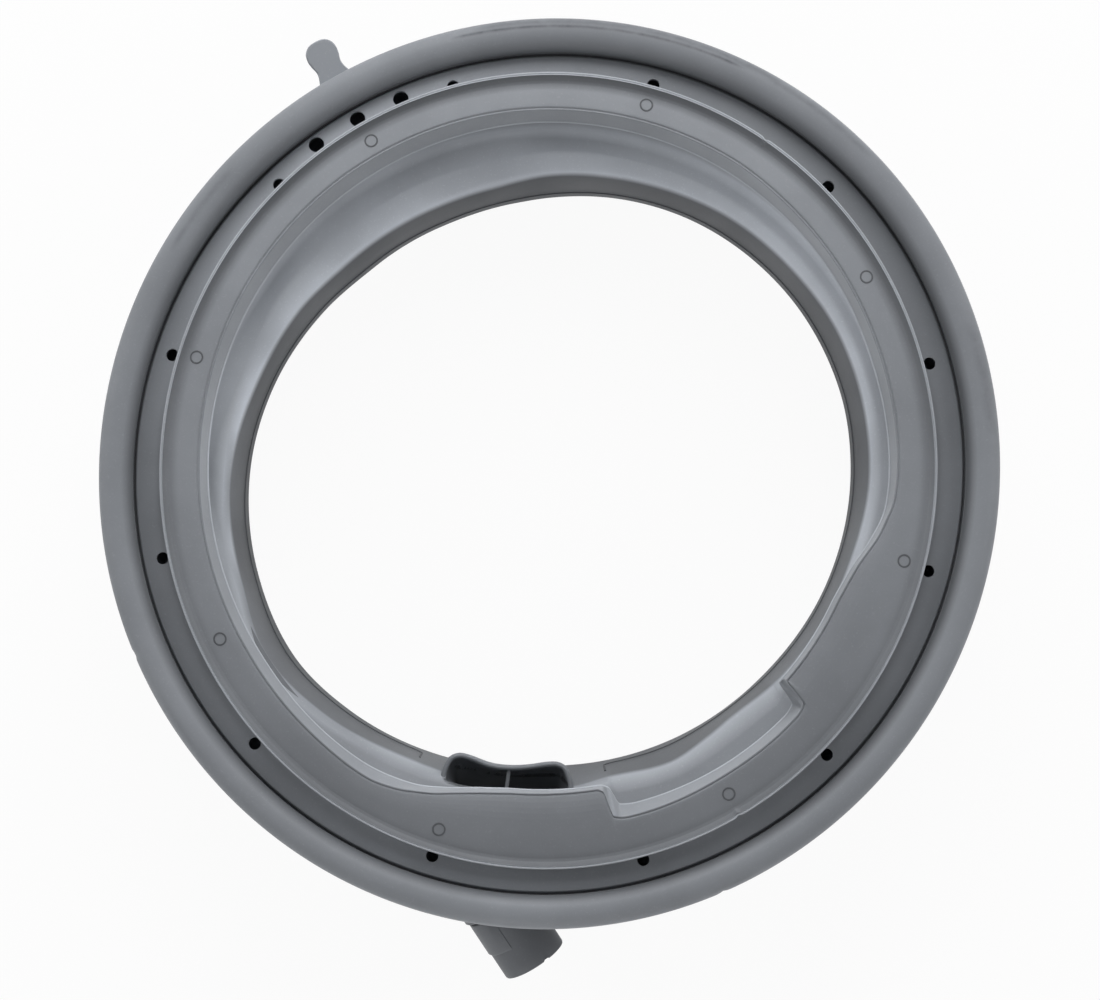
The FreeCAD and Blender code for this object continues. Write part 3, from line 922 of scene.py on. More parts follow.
@dataclass
class Collar:
    """The rear collar that grips the tub's rim, with the groove for its clamp band."""

    bore: float = 155.5
    wall: float = 4.8
    rib: float = 4.2
    throat: float = 4.0
    bore_depth: float = 20.0
    groove_low: float = 5.5
    groove_high: float = 15.5
    barb_end: float = 22.0
    top: float = 51.0
    step: float = 0.75

    def section(self, angle: float) -> list[Point]:
        """Gives the collar's section, the same all round.

        Args:
            angle: clockwise angle in degrees.

        Returns:
            The closed section.
        """
        outer, guard = self.bore + self.wall, self.bore + self.wall + self.rib
        inner = self.bore - self.throat
        return rounded(
            (
                Corner(self.bore, 0.0, 0.8),
                Corner(guard, 0.0, 1.2),
                Corner(guard, self.groove_low - 1.0, 0.9),
                Corner(outer, self.groove_low, 0.8),
                Corner(outer, self.groove_high, 0.8),
                Corner(guard, self.groove_high + 1.1, 0.9),
                Corner(outer, self.barb_end, 1.5),
                Corner(self.bore + 0.4, self.bore_depth + self.wall * 2, 2.5),
                Corner(self.bore + 0.4, self.top, 0.4),
                Corner(inner, self.top - 2.5, 0.4),
                Corner(inner, self.bore_depth + self.throat, 1.2),
                Corner(self.bore, self.bore_depth, 1.0),
            ),
            3,
        )

    def build(self, moulding: Moulding) -> bpy.types.Object:
        """Makes the collar."""
        return moulding.swept("collar", self.section, columns(self.step))


class Skin(Enum):
    """The two skins of the duct, by their distance in from the outside in millimetres."""

    OUTSIDE = 0.0
    INSIDE = 2.4


@dataclass(frozen=True)
class Station:
    """A place along the duct with its outline.

    Args:
        centre: the outline's middle in millimetres.
        axes: unit vectors across the outline and up in it.
        outline: the outline's points in those axes, in millimetres.
    """

    centre: Vector
    axes: tuple[Vector, Vector]
    outline: np.ndarray


@dataclass
class Duct:
    """The divided mouth, the duct behind it and the leaning hose spigot."""

    angle: float = 187.9
    mouth_height: float = 48.5
    root_height: float = 42.0
    bend: float = 12.0
    mouth: tuple[Point, ...] = (
        (-30.4, 140.6), (-29.6, 135.8), (-27.6, 131.6), (-23.4, 129.4), (-17.6, 129.9), (-8.5, 132.0),
        (0.0, 131.9), (8.5, 130.3), (16.6, 128.0), (21.8, 127.4), (25.8, 129.0), (28.2, 132.6),
        (30.0, 137.0), (29.6, 143.6), (24.0, 146.4), (12.0, 146.8), (0.0, 146.9), (-12.0, 146.6),
        (-24.0, 146.0), (-29.4, 144.2),
    )
    mouth_edge: tuple[Point, ...] = ((0.0, 0.9), (0.5, 0.25), (1.2, 0.0))
    flat_width: float = 50.0
    flat_height: float = 17.0
    flat_power: float = 4.0
    spigot_radius: float = 15.5
    spigot_wall: float = 2.6
    elbow_radius: float = 192.3
    elbow_half: float = 8.0
    reach: float = 36.6
    rim: tuple[Point, ...] = ((0.2, 0.25), (0.0, 0.75))
    rim_start: float = 0.8
    lean: float = 33.0
    fall: float = 10.0
    shoulder: tuple[Point, ...] = (
        (-3.0, 14.6), (-3.0, 17.1), (-2.6, 17.5), (4.6, 17.5), (5.0, 17.1), (5.0, 14.6),
    )
    shoulder_steps: int = 90
    pad_span: Point = (6.0, 23.2)
    pad_turn: Point = (110.0, 190.0)
    pad_height: float = 0.8
    pad_root: float = 0.6
    pad_side: float = 0.3
    pad_fade: float = 30.0
    pad_steps: int = 24
    end_nick: float = 69.0
    nick_depth: float = 0.7
    nick_reach: float = 3.2
    divider: float = 1.7
    divider_depth: float = 6.0
    divider_drop: float = 1.6
    divider_span: Point = (133.6, 145.2)
    passage_top: float = 12.0
    loop_points: int = 80
    steps: int = 8

    def axes(self, bend: float) -> tuple[Vector, Vector]:
        """Gives the unit vectors across an outline and up in it.

        Args:
            bend: how far the duct has turned outward there, in degrees.

        Returns:
            The two vectors.
        """
        turn = math.radians(self.angle)
        out = Vector((math.sin(turn), math.cos(turn), 0))
        across = Vector((-math.cos(turn), math.sin(turn), 0))
        tip = math.radians(bend)
        return across, out * math.cos(tip) + Vector((0, 0, math.sin(tip)))

    def centre(self, radius: float, height: float) -> Vector:
        """Gives a point on the duct's own middle plane, in millimetres."""
        return around(radius, self.angle, height) / MILLIMETRE

    @staticmethod
    def smooth_loop(points: Sequence[Point], count: int) -> np.ndarray:
        """Gives evenly spaced points of a closed smooth curve.

        Args:
            points: the points that the curve runs through.
            count: how many points are wanted.

        Returns:
            The points.
        """
        fine: list[np.ndarray] = []
        total = len(points)
        for index in range(total):
            a, b, c, d = (np.array(points[(index + step) % total]) for step in (-1, 0, 1, 2))
            for step in range(16):
                t = step / 16
                bow = (2 * a - 5 * b + 4 * c - d) * t**2 + (3 * b - a - 3 * c + d) * t**3
                fine.append(0.5 * (2 * b + (c - a) * t + bow))
        line = np.array([*fine, fine[0]])
        lengths = np.concatenate(([0.0], np.cumsum(np.linalg.norm(np.diff(line, axis=0), axis=1))))
        places = np.linspace(0, lengths[-1], count, endpoint=False)
        return np.stack([np.interp(places, lengths, line[:, axis]) for axis in (0, 1)], axis=1)

    def round_box(self, width: float, height: float, power: float) -> np.ndarray:
        """Gives a rounded box.

        Args:
            width: its width in millimetres.
            height: its height in millimetres.
            power: 2 for an ellipse, more for a squarer box.

        Returns:
            The box's points.
        """
        points = []
        for step in range(self.loop_points * 2):
            turn = -math.pi + math.pi * step / self.loop_points
            x, y = math.cos(turn), math.sin(turn)
            points.append((
                math.copysign(abs(x) ** (2 / power), x) * width / 2,
                math.copysign(abs(y) ** (2 / power), y) * height / 2,
            ))
        return self.smooth_loop(points, self.loop_points)

    @staticmethod
    def shrink(loop: np.ndarray, amount: float) -> np.ndarray:
        """Moves an outline inward.

        Args:
            loop: the outline's points.
            amount: how far, in millimetres.

        Returns:
            The smaller outline.
        """
        along = np.roll(loop, -1, axis=0) - np.roll(loop, 1, axis=0)
        along /= np.linalg.norm(along, axis=1)[:, None]
        side = np.stack((-along[:, 1], along[:, 0]), axis=1)
        area = np.sum(loop[:, 0] * np.roll(loop[:, 1], -1) - np.roll(loop[:, 0], -1) * loop[:, 1])
        return loop + side * amount * (1 if area > 0 else -1)

    def outward(self) -> Vector:
        """Gives the direction in which the spigot points."""
        lean, fall = math.radians(self.lean), math.radians(self.fall)
        return Vector((math.sin(lean) * math.cos(fall), -math.cos(lean) * math.cos(fall), -math.sin(fall)))

    def elbow(self) -> Vector:
        """Gives the point where the duct turns into the spigot, in millimetres."""
        return self.centre(self.elbow_radius, self.root_height - self.bend)

    def spigot_axes(self) -> tuple[Vector, Vector]:
        """Gives the unit vectors to the right and up in a section of the spigot.

        Returns:
            The two vectors.
        """
        out = self.outward()
        side = out.cross(Vector((0, 0, 1))).normalized()
        if side.dot(self.axes(90)[0]) < 0:
            side = -side
        up = out.cross(side)
        return side, up if up.z > 0 else -up

    def on_spigot(self, distance: float, radius: float, turn: float) -> Vector:
        """Gives a point round the spigot, in metres.

        Args:
            distance: distance from the elbow along the spigot in millimetres.
            radius: distance from the spigot's axis in millimetres.
            turn: angle round it in degrees, 0 to the right and 90 towards the front.

        Returns:
            The point.
        """
        side, up = self.spigot_axes()
        swing = math.radians(turn)
        spoke = side * math.cos(swing) + up * math.sin(swing)
        return (self.elbow() + self.outward() * distance + spoke * radius) * MILLIMETRE

    def shoulder_loops(self) -> list[list[Vector]]:
        """Gives the loops of the shoulder at the spigot's root, against which the hose stops.

        Returns:
            The loops round the spigot.
        """
        turns = [step * 360 / self.shoulder_steps for step in range(self.shoulder_steps)]
        return [
            [self.on_spigot(distance, radius, turn) for distance, radius in self.shoulder]
            for turn in turns
        ]

    def pad_loops(self) -> list[list[Vector]]:
        """Gives the loops of the flat raised pad on the spigot's left side.

        Returns:
            The loops from the root outward.
        """
        start, end = self.pad_span
        low, high = self.pad_turn
        turns = [low + (high - low) * step / self.pad_steps for step in range(self.pad_steps + 1)]
        loops = []
        for distance, tuck in ((start, 0.4), (start + 0.4, 0.0), (end - 0.9, 0.0), (end, 0.7)):
            loop = []
            for turn in turns:
                share = min(1.0, self.pad_side + (turn - low) / self.pad_fade)
                crown = self.spigot_radius + (self.pad_height - tuck) * share
                loop.append(self.on_spigot(distance, crown, turn))
            root = self.spigot_radius - self.pad_root
            loop += [self.on_spigot(distance, root, turn) for turn in reversed(turns)]
            loops.append(loop)
        return loops

    def middle(self) -> float:
        """Gives the distance of the mouth's middle from the axis in millimetres."""
        return (min(r for _, r in self.mouth) + max(r for _, r in self.mouth)) / 2

    def mouth_outline(self) -> np.ndarray:
        """Gives the mouth's outline about its middle, in the same order as a rounded box.

        Returns:
            The outline's points.
        """
        outline = self.smooth_loop([(u, r - self.middle()) for u, r in self.mouth], self.loop_points)
        start = int(np.argmin(np.abs(np.arctan2(outline[:, 1], outline[:, 0] + 1e-9) - math.pi)))
        outline = np.roll(outline, -start, axis=0)
        if np.cross(outline[0], outline[4]) < 0:
            outline = np.roll(outline[::-1], 1, axis=0)
        return outline

    def flat_outline(self) -> np.ndarray:
        """Gives the outline of the flat duct behind the mouth."""
        return self.round_box(self.flat_width, self.flat_height, self.flat_power)

    def round_outline(self) -> np.ndarray:
        """Gives the outline of the round spigot."""
        return self.round_box(self.spigot_radius * 2, self.spigot_radius * 2, 2.0)

    def mouth_stations(self, skin: Skin) -> list[Station]:
        """Gives the stations from the mouth's edge straight down to the bend.

        Args:
            skin: the skin of the duct's wall.

        Returns:
            The stations.
        """
        outline, middle = self.mouth_outline(), self.middle()
        sign = 1.0 if skin is Skin.OUTSIDE else -1.0
        stations = [
            Station(
                self.centre(middle, self.mouth_height - drop),
                self.axes(0),
                self.shrink(outline, skin.value + tuck * sign),
            )
            for drop, tuck in self.mouth_edge
        ]
        start = self.mouth_height - self.mouth_edge[-1][0]
        for step in range(1, 4):
            height = start + (self.root_height - start) * step / 3
            centre = self.centre(middle, height)
            stations.append(Station(centre, self.axes(0), self.shrink(outline, skin.value)))
        return stations

    def bend_stations(self, skin: Skin) -> list[Station]:
        """Gives the stations round the bend, where the mouth's outline turns into the flat one.

        Args:
            skin: the skin of the duct's wall.

        Returns:
            The stations.
        """
        mouth, flat = self.mouth_outline(), self.flat_outline()
        stations = []
        for step in range(1, self.steps + 1):
            share = step / self.steps
            turn = math.radians(90 * share)
            radius = self.middle() + self.bend * (1 - math.cos(turn))
            centre = self.centre(radius, self.root_height - self.bend * math.sin(turn))
            outline = self.shrink(mouth + (flat - mouth) * share, skin.value)
            stations.append(Station(centre, self.axes(90 * share), outline))
        return stations

    def run_stations(self, skin: Skin) -> list[Station]:
        """Gives the stations outward to the elbow, where the flat outline turns round.

        Args:
            skin: the skin of the duct's wall.

        Returns:
            The stations.
        """
        flat, circle = self.flat_outline(), self.round_outline()
        start = self.middle() + self.bend
        end = self.elbow_radius - self.elbow_half
        stations = []
        for step in range(1, self.steps + 1):
            share = step / self.steps
            ease = share * share * (3 - 2 * share)
            centre = self.centre(start + (end - start) * share, self.root_height - self.bend)
            outline = self.shrink(flat + (circle - flat) * ease, skin.value)
            stations.append(Station(centre, self.axes(90), outline))
        return stations

    def elbow_stations(self, skin: Skin) -> list[Station]:
        """Gives the stations round the elbow.

        Args:
            skin: the skin of the duct's wall.

        Returns:
            The stations.
        """
        straight, turned = self.axes(90), self.spigot_axes()
        elbow = self.elbow()
        first = elbow - self.centre(self.elbow_half, 0)
        last = elbow + self.outward() * self.elbow_half
        outline = self.shrink(self.round_outline(), skin.value)
        stations = []
        for step in range(1, self.steps + 1):
            share = step / (self.steps + 1)
            rest = 1 - share
            centre = first * rest**2 + elbow * (2 * share * rest) + last * share**2
            across = (straight[0] * rest + turned[0] * share).normalized()
            up = (straight[1] * rest + turned[1] * share).normalized()
            stations.append(Station(centre, (across, up), outline))
        return stations

    def spigot_stations(self, skin: Skin) -> list[Station]:
        """Gives the stations along the spigot to its softened end rim.

        Args:
            skin: the skin of the duct's wall.

        Returns:
            The stations.
        """
        inset = self.spigot_wall if skin is Skin.INSIDE else skin.value
        sign = 1.0 if skin is Skin.OUTSIDE else -1.0
        start, end = self.elbow_half, self.reach - self.rim_start
        places = [(start + (end - start) * step / 6, inset) for step in range(7)]
        places += [(self.reach - back, inset + tuck * sign) for back, tuck in self.rim]
        circle, axes = self.round_outline(), self.spigot_axes()
        return [
            Station(self.elbow() + self.outward() * distance, axes, self.shrink(circle, tuck))
            for distance, tuck in places
        ]

    def loops(self, stations: Sequence[Station]) -> list[list[Vector]]:
        """Turns stations into loops of points in metres.

        Args:
            stations: the stations in order, the spigot's end rim last.

        Returns:
            The loops.
        """
        out = self.outward()
        rims = len(stations) - len(self.rim)
        loops = []
        for index, station in enumerate(stations):
            across, up = station.axes
            loop = []
            for u, v in station.outline:
                back = out * self.notch(float(u), float(v)) if index >= rims else Vector()
                loop.append((station.centre + across * float(u) + up * float(v) - back) * MILLIMETRE)
            loops.append(loop)
        return loops

    def notch(self, across: float, up: float) -> float:
        """Gives how far the small nick sets back a point of the spigot's end rim."""
        away = abs(math.degrees(math.atan2(up, across)) - self.end_nick)
        return self.nick_depth if away < self.nick_reach else 0.0

    def skin_loops(self, skin: Skin) -> list[list[Vector]]:
        """Gives the loops of one skin, from the mouth to the spigot's end.

        Args:
            skin: the skin.

        Returns:
            The loops.
        """
        return self.loops([
            *self.mouth_stations(skin),
            *self.bend_stations(skin),
            *self.run_stations(skin),
            *self.elbow_stations(skin),
            *self.spigot_stations(skin),
        ])

    def passage(self, moulding: Moulding) -> bpy.types.Object:
        """Makes the solid that opens the walls where the duct runs through them.

        Args:
            moulding: makes the mesh.

        Returns:
            The solid.
        """
        loops = self.skin_loops(Skin.INSIDE)
        inner = len(self.mouth_stations(Skin.INSIDE)) + self.steps * 2
        top = [point + Vector((0, 0, self.passage_top)) * MILLIMETRE for point in loops[0]]
        return moulding.lofted("passage", [top, *loops[:inner]], capped=True)

    def plate(self, moulding: Moulding) -> bpy.types.Object:
        """Makes the divider in the mouth, with a softened front edge.

        Args:
            moulding: makes the mesh.

        Returns:
            The divider.
        """
        across, out = self.axes(0)
        half = self.divider / 2
        inner, outer = self.divider_span
        low, high = self.root_height - self.divider_depth, self.mouth_height - self.divider_drop
        loops = []
        for height, slim in ((low, half), (high - 0.4, half), (high, half * 0.6)):
            corners = ((-slim, inner), (slim, inner), (slim, outer), (-slim, outer))
            loops.append([
                (across * u + out * r + Vector((0, 0, height))) * MILLIMETRE for u, r in corners
            ])
        return moulding.lofted("duct_divider", loops, capped=True)

    def build(self, moulding: Moulding) -> list[bpy.types.Object]:
        """Makes the duct with its wall, the spigot's shoulder and pad, and the divider.

        Args:
            moulding: makes the meshes.

        Returns:
            The pieces.
        """
        outside, inside = self.skin_loops(Skin.OUTSIDE), self.skin_loops(Skin.INSIDE)
        return [
            moulding.lofted("duct", [*outside, *reversed(inside)]),
            moulding.lofted("spigot_shoulder", self.shoulder_loops()),
            moulding.lofted("spigot_pad", self.pad_loops(), capped=True),
            self.plate(moulding),
        ]


@dataclass
class PullTab:
    """The flat tab on the bead by which the gasket is pulled into place."""

    angle: float = 331.5
    thickness: float = 2.6
    low: float = 74.6
    edge: float = 0.5
    outline_points: int = 96
    half_outline: tuple[Point, ...] = (
        (9.4, 193.0), (8.9, 198.0), (7.2, 201.5), (6.2, 204.5), (6.1, 207.0), (6.9, 210.0), (7.2, 213.0),
        (6.4, 216.0), (4.2, 218.2), (1.6, 218.9),
    )

    def build(self, moulding: Moulding) -> bpy.types.Object:
        """Makes the tab with softened edges.

        Args:
            moulding: makes the mesh.

        Returns:
            The tab.
        """
        turn = math.radians(self.angle)
        out = Vector((math.sin(turn), math.cos(turn), 0))
        across = Vector((math.cos(turn), -math.sin(turn), 0))
        outline = [*self.half_outline, *((-u, r) for u, r in reversed(self.half_outline))]
        plan = Duct.smooth_loop(outline, self.outline_points)
        high = self.low + self.thickness
        levels = (
            (self.low, self.edge), (self.low + self.edge, 0.0), (high - self.edge, 0.0), (high, self.edge),
        )
        loops = []
        for height, inset in levels:
            loops.append([
                (across * float(u) + out * float(r) + Vector((0, 0, height))) * MILLIMETRE
                for u, r in Duct.shrink(plan, inset)
            ])
        return moulding.lofted("pull_tab", loops, capped=True)


@dataclass(frozen=True)
class Scuff:
    """A dark rubbed stretch on the bead.

    Args:
        start: angle where it begins.
        end: angle where it ends.
        inset: distance in from the bead's outer edge in millimetres.
        width: width in millimetres.
        strength: how dark it is, from 0 to 1.
    """

    start: float
    end: float
    inset: float
    width: float
    strength: float


@dataclass(frozen=True)
class Tone:
    """How pale or dark the rubber is painted at each point: painted light on the sleeve, its crest, the skirt
    and the rim, painted shade under the skirt, in the gutter, groove and crease and on the rear cone, and
    painted light and shade that change round the ring on the face, channel and bead.

    Args:
        sleeve: painted light on the sleeve, by angle.
        palest: the most that any part of the sleeve reaches.
        crest_gain: how much paler the crest is as a painted highlight, as a share, in streaks by angle.
        crest_reach: how far that reaches up the sleeve in millimetres.
        shade: how much darker the sleeve is under the skirt, as a share, by angle.
        shade_start: where on the sleeve that begins, as a share of its width.
        shade_end: where it is full.
        sleeve_end: distance of the sleeve's end from the axis in millimetres.
        crest_back: how far behind the crest the rear cone's tone begins, in millimetres.
        crest_fade: over what length it turns into the sleeve's, in millimetres.
        face: painted light and shade on the lip's face, by angle.
        gutter: painted shadow in the gutter inside the lip's rim, by angle.
        gutter_reach: how far that fades across the face in millimetres.
        rear: painted shade on the cone behind the crest, by angle.
        rib: on the rear rib.
        folds: on the folds behind the lip.
        skirt: painted light on the skirt behind the lip's face, by angle.
        skirt_brim: how much paler the brim at the skirt's end is, as a painted highlight.
        rim: painted highlight on the lip's rim, by angle.
        channel: painted light and shade on the channel floor, by angle.
        groove: painted shade in the groove at the bead's foot.
        bead: painted light and shade on the bead, by angle.
        crease: painted shade on the bead's inner side just above the groove, by angle.
        crease_width: how far that tone reaches in millimetres.
        mark: on the ring marks.
        spigot: on the spigot.
        spigot_start: distance of the spigot's beginning from the axis in millimetres.
        mouth: on the duct's mouth.
        divider: on the mouth's divider.
        tab: on the pull tab.
        usual: on all other surfaces.
    """

    sleeve: Stations = Stations((
        (0, 3.0), (40, 3.0), (70, 2.6), (100, 1.8), (140, 1.3), (200, 1.15), (250, 1.5), (280, 2.1),
        (310, 2.6),
    ))
    palest: float = 3.3
    crest_gain: Stations = Stations((
        (0, 0.25), (13, 0.6), (28, 0.25), (43, 0.5), (58, 0.25), (73, 0.6), (85, 0.3), (100, 0.5), (120, 0.4),
        (150, 0.55), (200, 0.5), (240, 0.45), (275, 0.5), (285, 0.75), (296, 0.25), (308, 0.65), (318, 0.25),
        (326, 0.55), (340, 0.15),
    ))
    crest_reach: float = 3.2
    shade: Stations = Stations((
        (0, 0.38), (30, 0.25), (60, 0.1), (90, 0.0), (280, 0.0), (300, 0.2), (330, 0.38),
    ))
    shade_start: float = 0.5
    shade_end: float = 0.9
    sleeve_end: float = 159.5
    crest_back: float = 1.0
    crest_fade: float = 1.6
    face: Stations = Stations((
        (0, 1.02), (60, 0.95), (100, 0.92), (150, 0.8), (210, 0.8), (250, 0.95), (300, 1.0),
    ))
    gutter: Stations = Stations((
        (0, 0.4), (60, 0.45), (90, 0.55), (120, 0.65), (150, 0.55), (200, 0.6), (240, 0.7), (280, 0.55),
        (330, 0.4),
    ))
    gutter_reach: float = 6.5
    rear: Stations = Stations((
        (0, 0.5), (60, 0.4), (100, 0.4), (120, 0.46), (200, 0.47), (220, 0.44), (240, 0.36), (260, 0.34),
        (300, 0.5), (330, 0.47),
    ))
    rib: float = 0.3
    folds: float = 0.75
    skirt: Stations = Stations(((0, 1.25), (60, 1.4), (110, 1.25), (250, 1.3), (280, 1.55), (310, 1.3)))
    skirt_brim: float = 1.6
    rim: Stations = Stations(((0, 1.9), (60, 1.6), (90, 1.3), (180, 1.3), (270, 1.4), (310, 1.8)))
    channel: Stations = Stations((
        (0, 1.12), (90, 0.75), (150, 0.98), (200, 1.15), (260, 0.84), (300, 1.2), (335, 1.75),
    ))
    groove: float = 0.3
    bead: Stations = Stations((
        (0, 0.82), (20, 0.8), (45, 0.88), (80, 0.87), (100, 0.91), (120, 0.95), (160, 0.9), (180, 1.0),
        (200, 0.94), (225, 1.0), (260, 0.98), (300, 0.9), (325, 0.93), (345, 0.95),
    ))
    crease: Stations = Stations((
        (0, 0.62), (70, 0.42), (100, 0.36), (160, 0.32), (180, 0.38), (220, 0.46), (270, 0.56),
    ))
    crease_width: float = 4.2
    mark: float = 0.38
    spigot: float = 0.6
    spigot_start: float = 180.0
    mouth: float = 0.85
    divider: float = 0.6
    tab: float = 1.18
    usual: float = 1.0

    def at(self, name: str, angle: float, radius: float, height: float) -> float:
        """Gives the tone at a point of a piece.

        Args:
            name: the piece's name.
            angle: clockwise angle in degrees.
            radius: distance from the axis in millimetres.
            height: height in millimetres.

        Returns:
            The factor on the rubber's colour.
        """
        if name == "bellows":
            return self._bellows(angle, radius)
        if name == "lip":
            return self._lip(angle, radius, height)
        if name == "bead":
            return self._bead(angle, radius, height)
        if name == "channel_floor":
            return self._channel(angle, radius, height)
        if name.startswith("ring_mark"):
            return self.mark
        if name in ("duct", "spigot_shoulder", "spigot_pad"):
            return self.spigot if radius > self.spigot_start else self.mouth
        plain = {
            "rear_rib": self.rib,
            "pull_tab": self.tab,
            "collar": self.folds,
            "duct_divider": self.divider,
        }
        return plain.get(name, self.usual)

    def _bead(self, angle: float, radius: float, height: float) -> float:
        """Gives the tone of the bead: painted light and shade by angle, with painted shade at its foot.

        Args:
            angle: clockwise angle in degrees.
            radius: distance from the axis in millimetres.
            height: height in millimetres.

        Returns:
            The factor on the rubber's colour.
        """
        into = (radius - RING.crease.at(angle)) / self.crease_width
        share = max(0.0, 1.0 - into) if height > Channel.outer_height else 0.0
        tone = self.bead.at(angle)
        return tone + (self.crease.at(angle) - tone) * share

    def _channel(self, angle: float, radius: float, height: float) -> float:
        """Gives the tone of the channel floor, painted light and shade by angle, and the painted shade in the
        groove at its outer edge.

        Args:
            angle: clockwise angle in degrees.
            radius: distance from the axis in millimetres.
            height: height in millimetres.

        Returns:
            The factor on the rubber's colour.
        """
        outer = radius > RING.crease.at(angle) - 1.0
        low = height < Channel.outer_height - 0.4
        return self.groove if outer and low else self.channel.at(angle)

    def _bellows(self, angle: float, radius: float) -> float:
        """Gives the tone of the folded wall, the sleeve's painted light with its painted crest highlight and
        painted shade under the skirt, and the painted shade on the rear cone.

        Args:
            angle: clockwise angle in degrees.
            radius: distance from the axis in millimetres.

        Returns:
            The factor on the rubber's colour.
        """
        crest = RING.crest.at(angle)
        up = radius - crest
        over = max(0.0, min(1.0, (up + self.crest_back) / self.crest_fade))
        front = self.folds
        if radius < self.sleeve_end:
            gain = 1.0 + self.crest_gain.at(angle) * math.exp(-((up / self.crest_reach) ** 2))
            front = min(self.palest, self.sleeve.at(angle) * gain)
            share = up / (self.sleeve_end - crest)
            deep = (share - self.shade_start) / (self.shade_end - self.shade_start)
            front *= 1.0 - self.shade.at(angle) * max(0.0, min(1.0, deep))
        rear = self.rear.at(angle)
        return rear + (front - rear) * over

    def _lip(self, angle: float, radius: float, height: float) -> float:
        """Gives the tone of the lip: painted light and shade on its face, a painted highlight on its rim,
        painted light on its skirt and brim, and a painted shadow in its gutter.

        Args:
            angle: clockwise angle in degrees.
            radius: distance from the axis in millimetres.
            height: height in millimetres.

        Returns:
            The factor on the rubber's colour.
        """
        skirt = RING.face_edge.at(angle)
        if radius < skirt + 0.05 and height < Lip.foot_height + 2.0:
            return self.skirt.at(angle) * (self.skirt_brim if height < Lip.skirt_height + 1.0 else 1.0)
        into = RING.lip_edge.at(angle) - Lip.rim_width - radius
        if into <= 0.0 and height > Lip.edge_height - 0.6:
            return self.rim.at(angle)
        if 0.0 < into < self.gutter_reach and height > Lip.skirt_height:
            low = self.gutter.at(angle)
            return low + (self.face.at(angle) - low) * into / self.gutter_reach
        return self.face.at(angle)


@dataclass(frozen=True)
class Grain:
    """A noise in the rubber.

    Args:
        scale: how fine it is.
        detail: how many finer layers it has.
        roughness: how strong those layers are.
    """

    scale: float
    detail: float
    roughness: float


@dataclass(frozen=True)
class Stretch:
    """A stretch of values and what it becomes.

    Args:
        low: the lowest value that goes in.
        high: the highest value that goes in.
        start: what the lowest becomes.
        end: what the highest becomes.
    """

    low: float
    high: float
    start: float
    end: float


@dataclass(frozen=True)
class Dents:
    """A fine unevenness of the surface.

    Args:
        grain: its noise.
        strength: how strongly it shows.
        depth: its depth in metres.
    """

    grain: Grain
    strength: float
    depth: float


@dataclass(frozen=True)
class Shading:
    """Adds nodes to a material and joins them.

    Args:
        tree: the material's node tree.
        place: the socket with each point's place on its piece.
    """

    tree: bpy.types.NodeTree
    place: bpy.types.NodeSocket

    def new(self, kind: str) -> bpy.types.Node:
        """Adds a node of a kind."""
        return self.tree.nodes.new(kind)

    def join(self, source: bpy.types.NodeSocket, target: bpy.types.NodeSocket) -> None:
        """Joins an output to an input."""
        self.tree.links.new(source, target)

    def noise(self, grain: Grain) -> bpy.types.NodeSocket:
        """Adds a noise in the piece's own space.

        Args:
            grain: the noise.

        Returns:
            The socket with its values.
        """
        node = self.new("ShaderNodeTexNoise")
        node.inputs["Scale"].default_value = grain.scale
        node.inputs["Detail"].default_value = grain.detail
        node.inputs["Roughness"].default_value = grain.roughness
        self.join(self.place, node.inputs["Vector"])
        return node.outputs["Fac"]

    def ramp(self, source: bpy.types.NodeSocket, stretch: Stretch) -> bpy.types.NodeSocket:
        """Maps a stretch of values on to another.

        Args:
            source: the socket with the values.
            stretch: the stretch and what it becomes.

        Returns:
            The socket with the new values.
        """
        node = self.new("ShaderNodeMapRange")
        node.inputs["From Min"].default_value = stretch.low
        node.inputs["From Max"].default_value = stretch.high
        node.inputs["To Min"].default_value = stretch.start
        node.inputs["To Max"].default_value = stretch.end
        self.join(source, node.inputs["Value"])
        return node.outputs["Result"]

    def blend(self, factor: bpy.types.NodeSocket, first: Tint, second: Tint) -> bpy.types.NodeSocket:
        """Mixes two colours.

        Args:
            factor: the second colour's share.
            first: the first colour, or a socket that gives it.
            second: the second colour, or a socket that gives it.

        Returns:
            The socket with the mixed colour.
        """
        node = self.new("ShaderNodeMix")
        node.data_type = "RGBA"
        self.join(factor, node.inputs["Factor"])
        for name, value in (("A", first), ("B", second)):
            socket = [s for s in node.inputs if s.name == name and s.type == "RGBA"][0]
            if isinstance(value, tuple):
                socket.default_value = (*value, 1.0)
            else:
                self.join(value, socket)
        return [s for s in node.outputs if s.type == "RGBA"][0]

    def attribute(self, name: str) -> bpy.types.NodeSocket:
        """Reads the values that each point of a piece carries.

        Args:
            name: the name under which it carries them.

        Returns:
            The socket with the values.
        """
        node = self.new("ShaderNodeAttribute")
        node.attribute_name = name
        return node.outputs["Fac"]

    def dent(self, dents: Dents, under: bpy.types.NodeSocket | None = None) -> bpy.types.NodeSocket:
        """Adds a fine unevenness.

        Args:
            dents: the unevenness.
            under: the normal of another unevenness that it is laid over.

        Returns:
            The socket with the normal.
        """
        node = self.new("ShaderNodeBump")
        node.inputs["Strength"].default_value = dents.strength
        node.inputs["Distance"].default_value = dents.depth
        self.join(self.noise(dents.grain), node.inputs["Height"])
        if under is not None:
            self.join(under, node.inputs["Normal"])
        return node.outputs["Normal"]


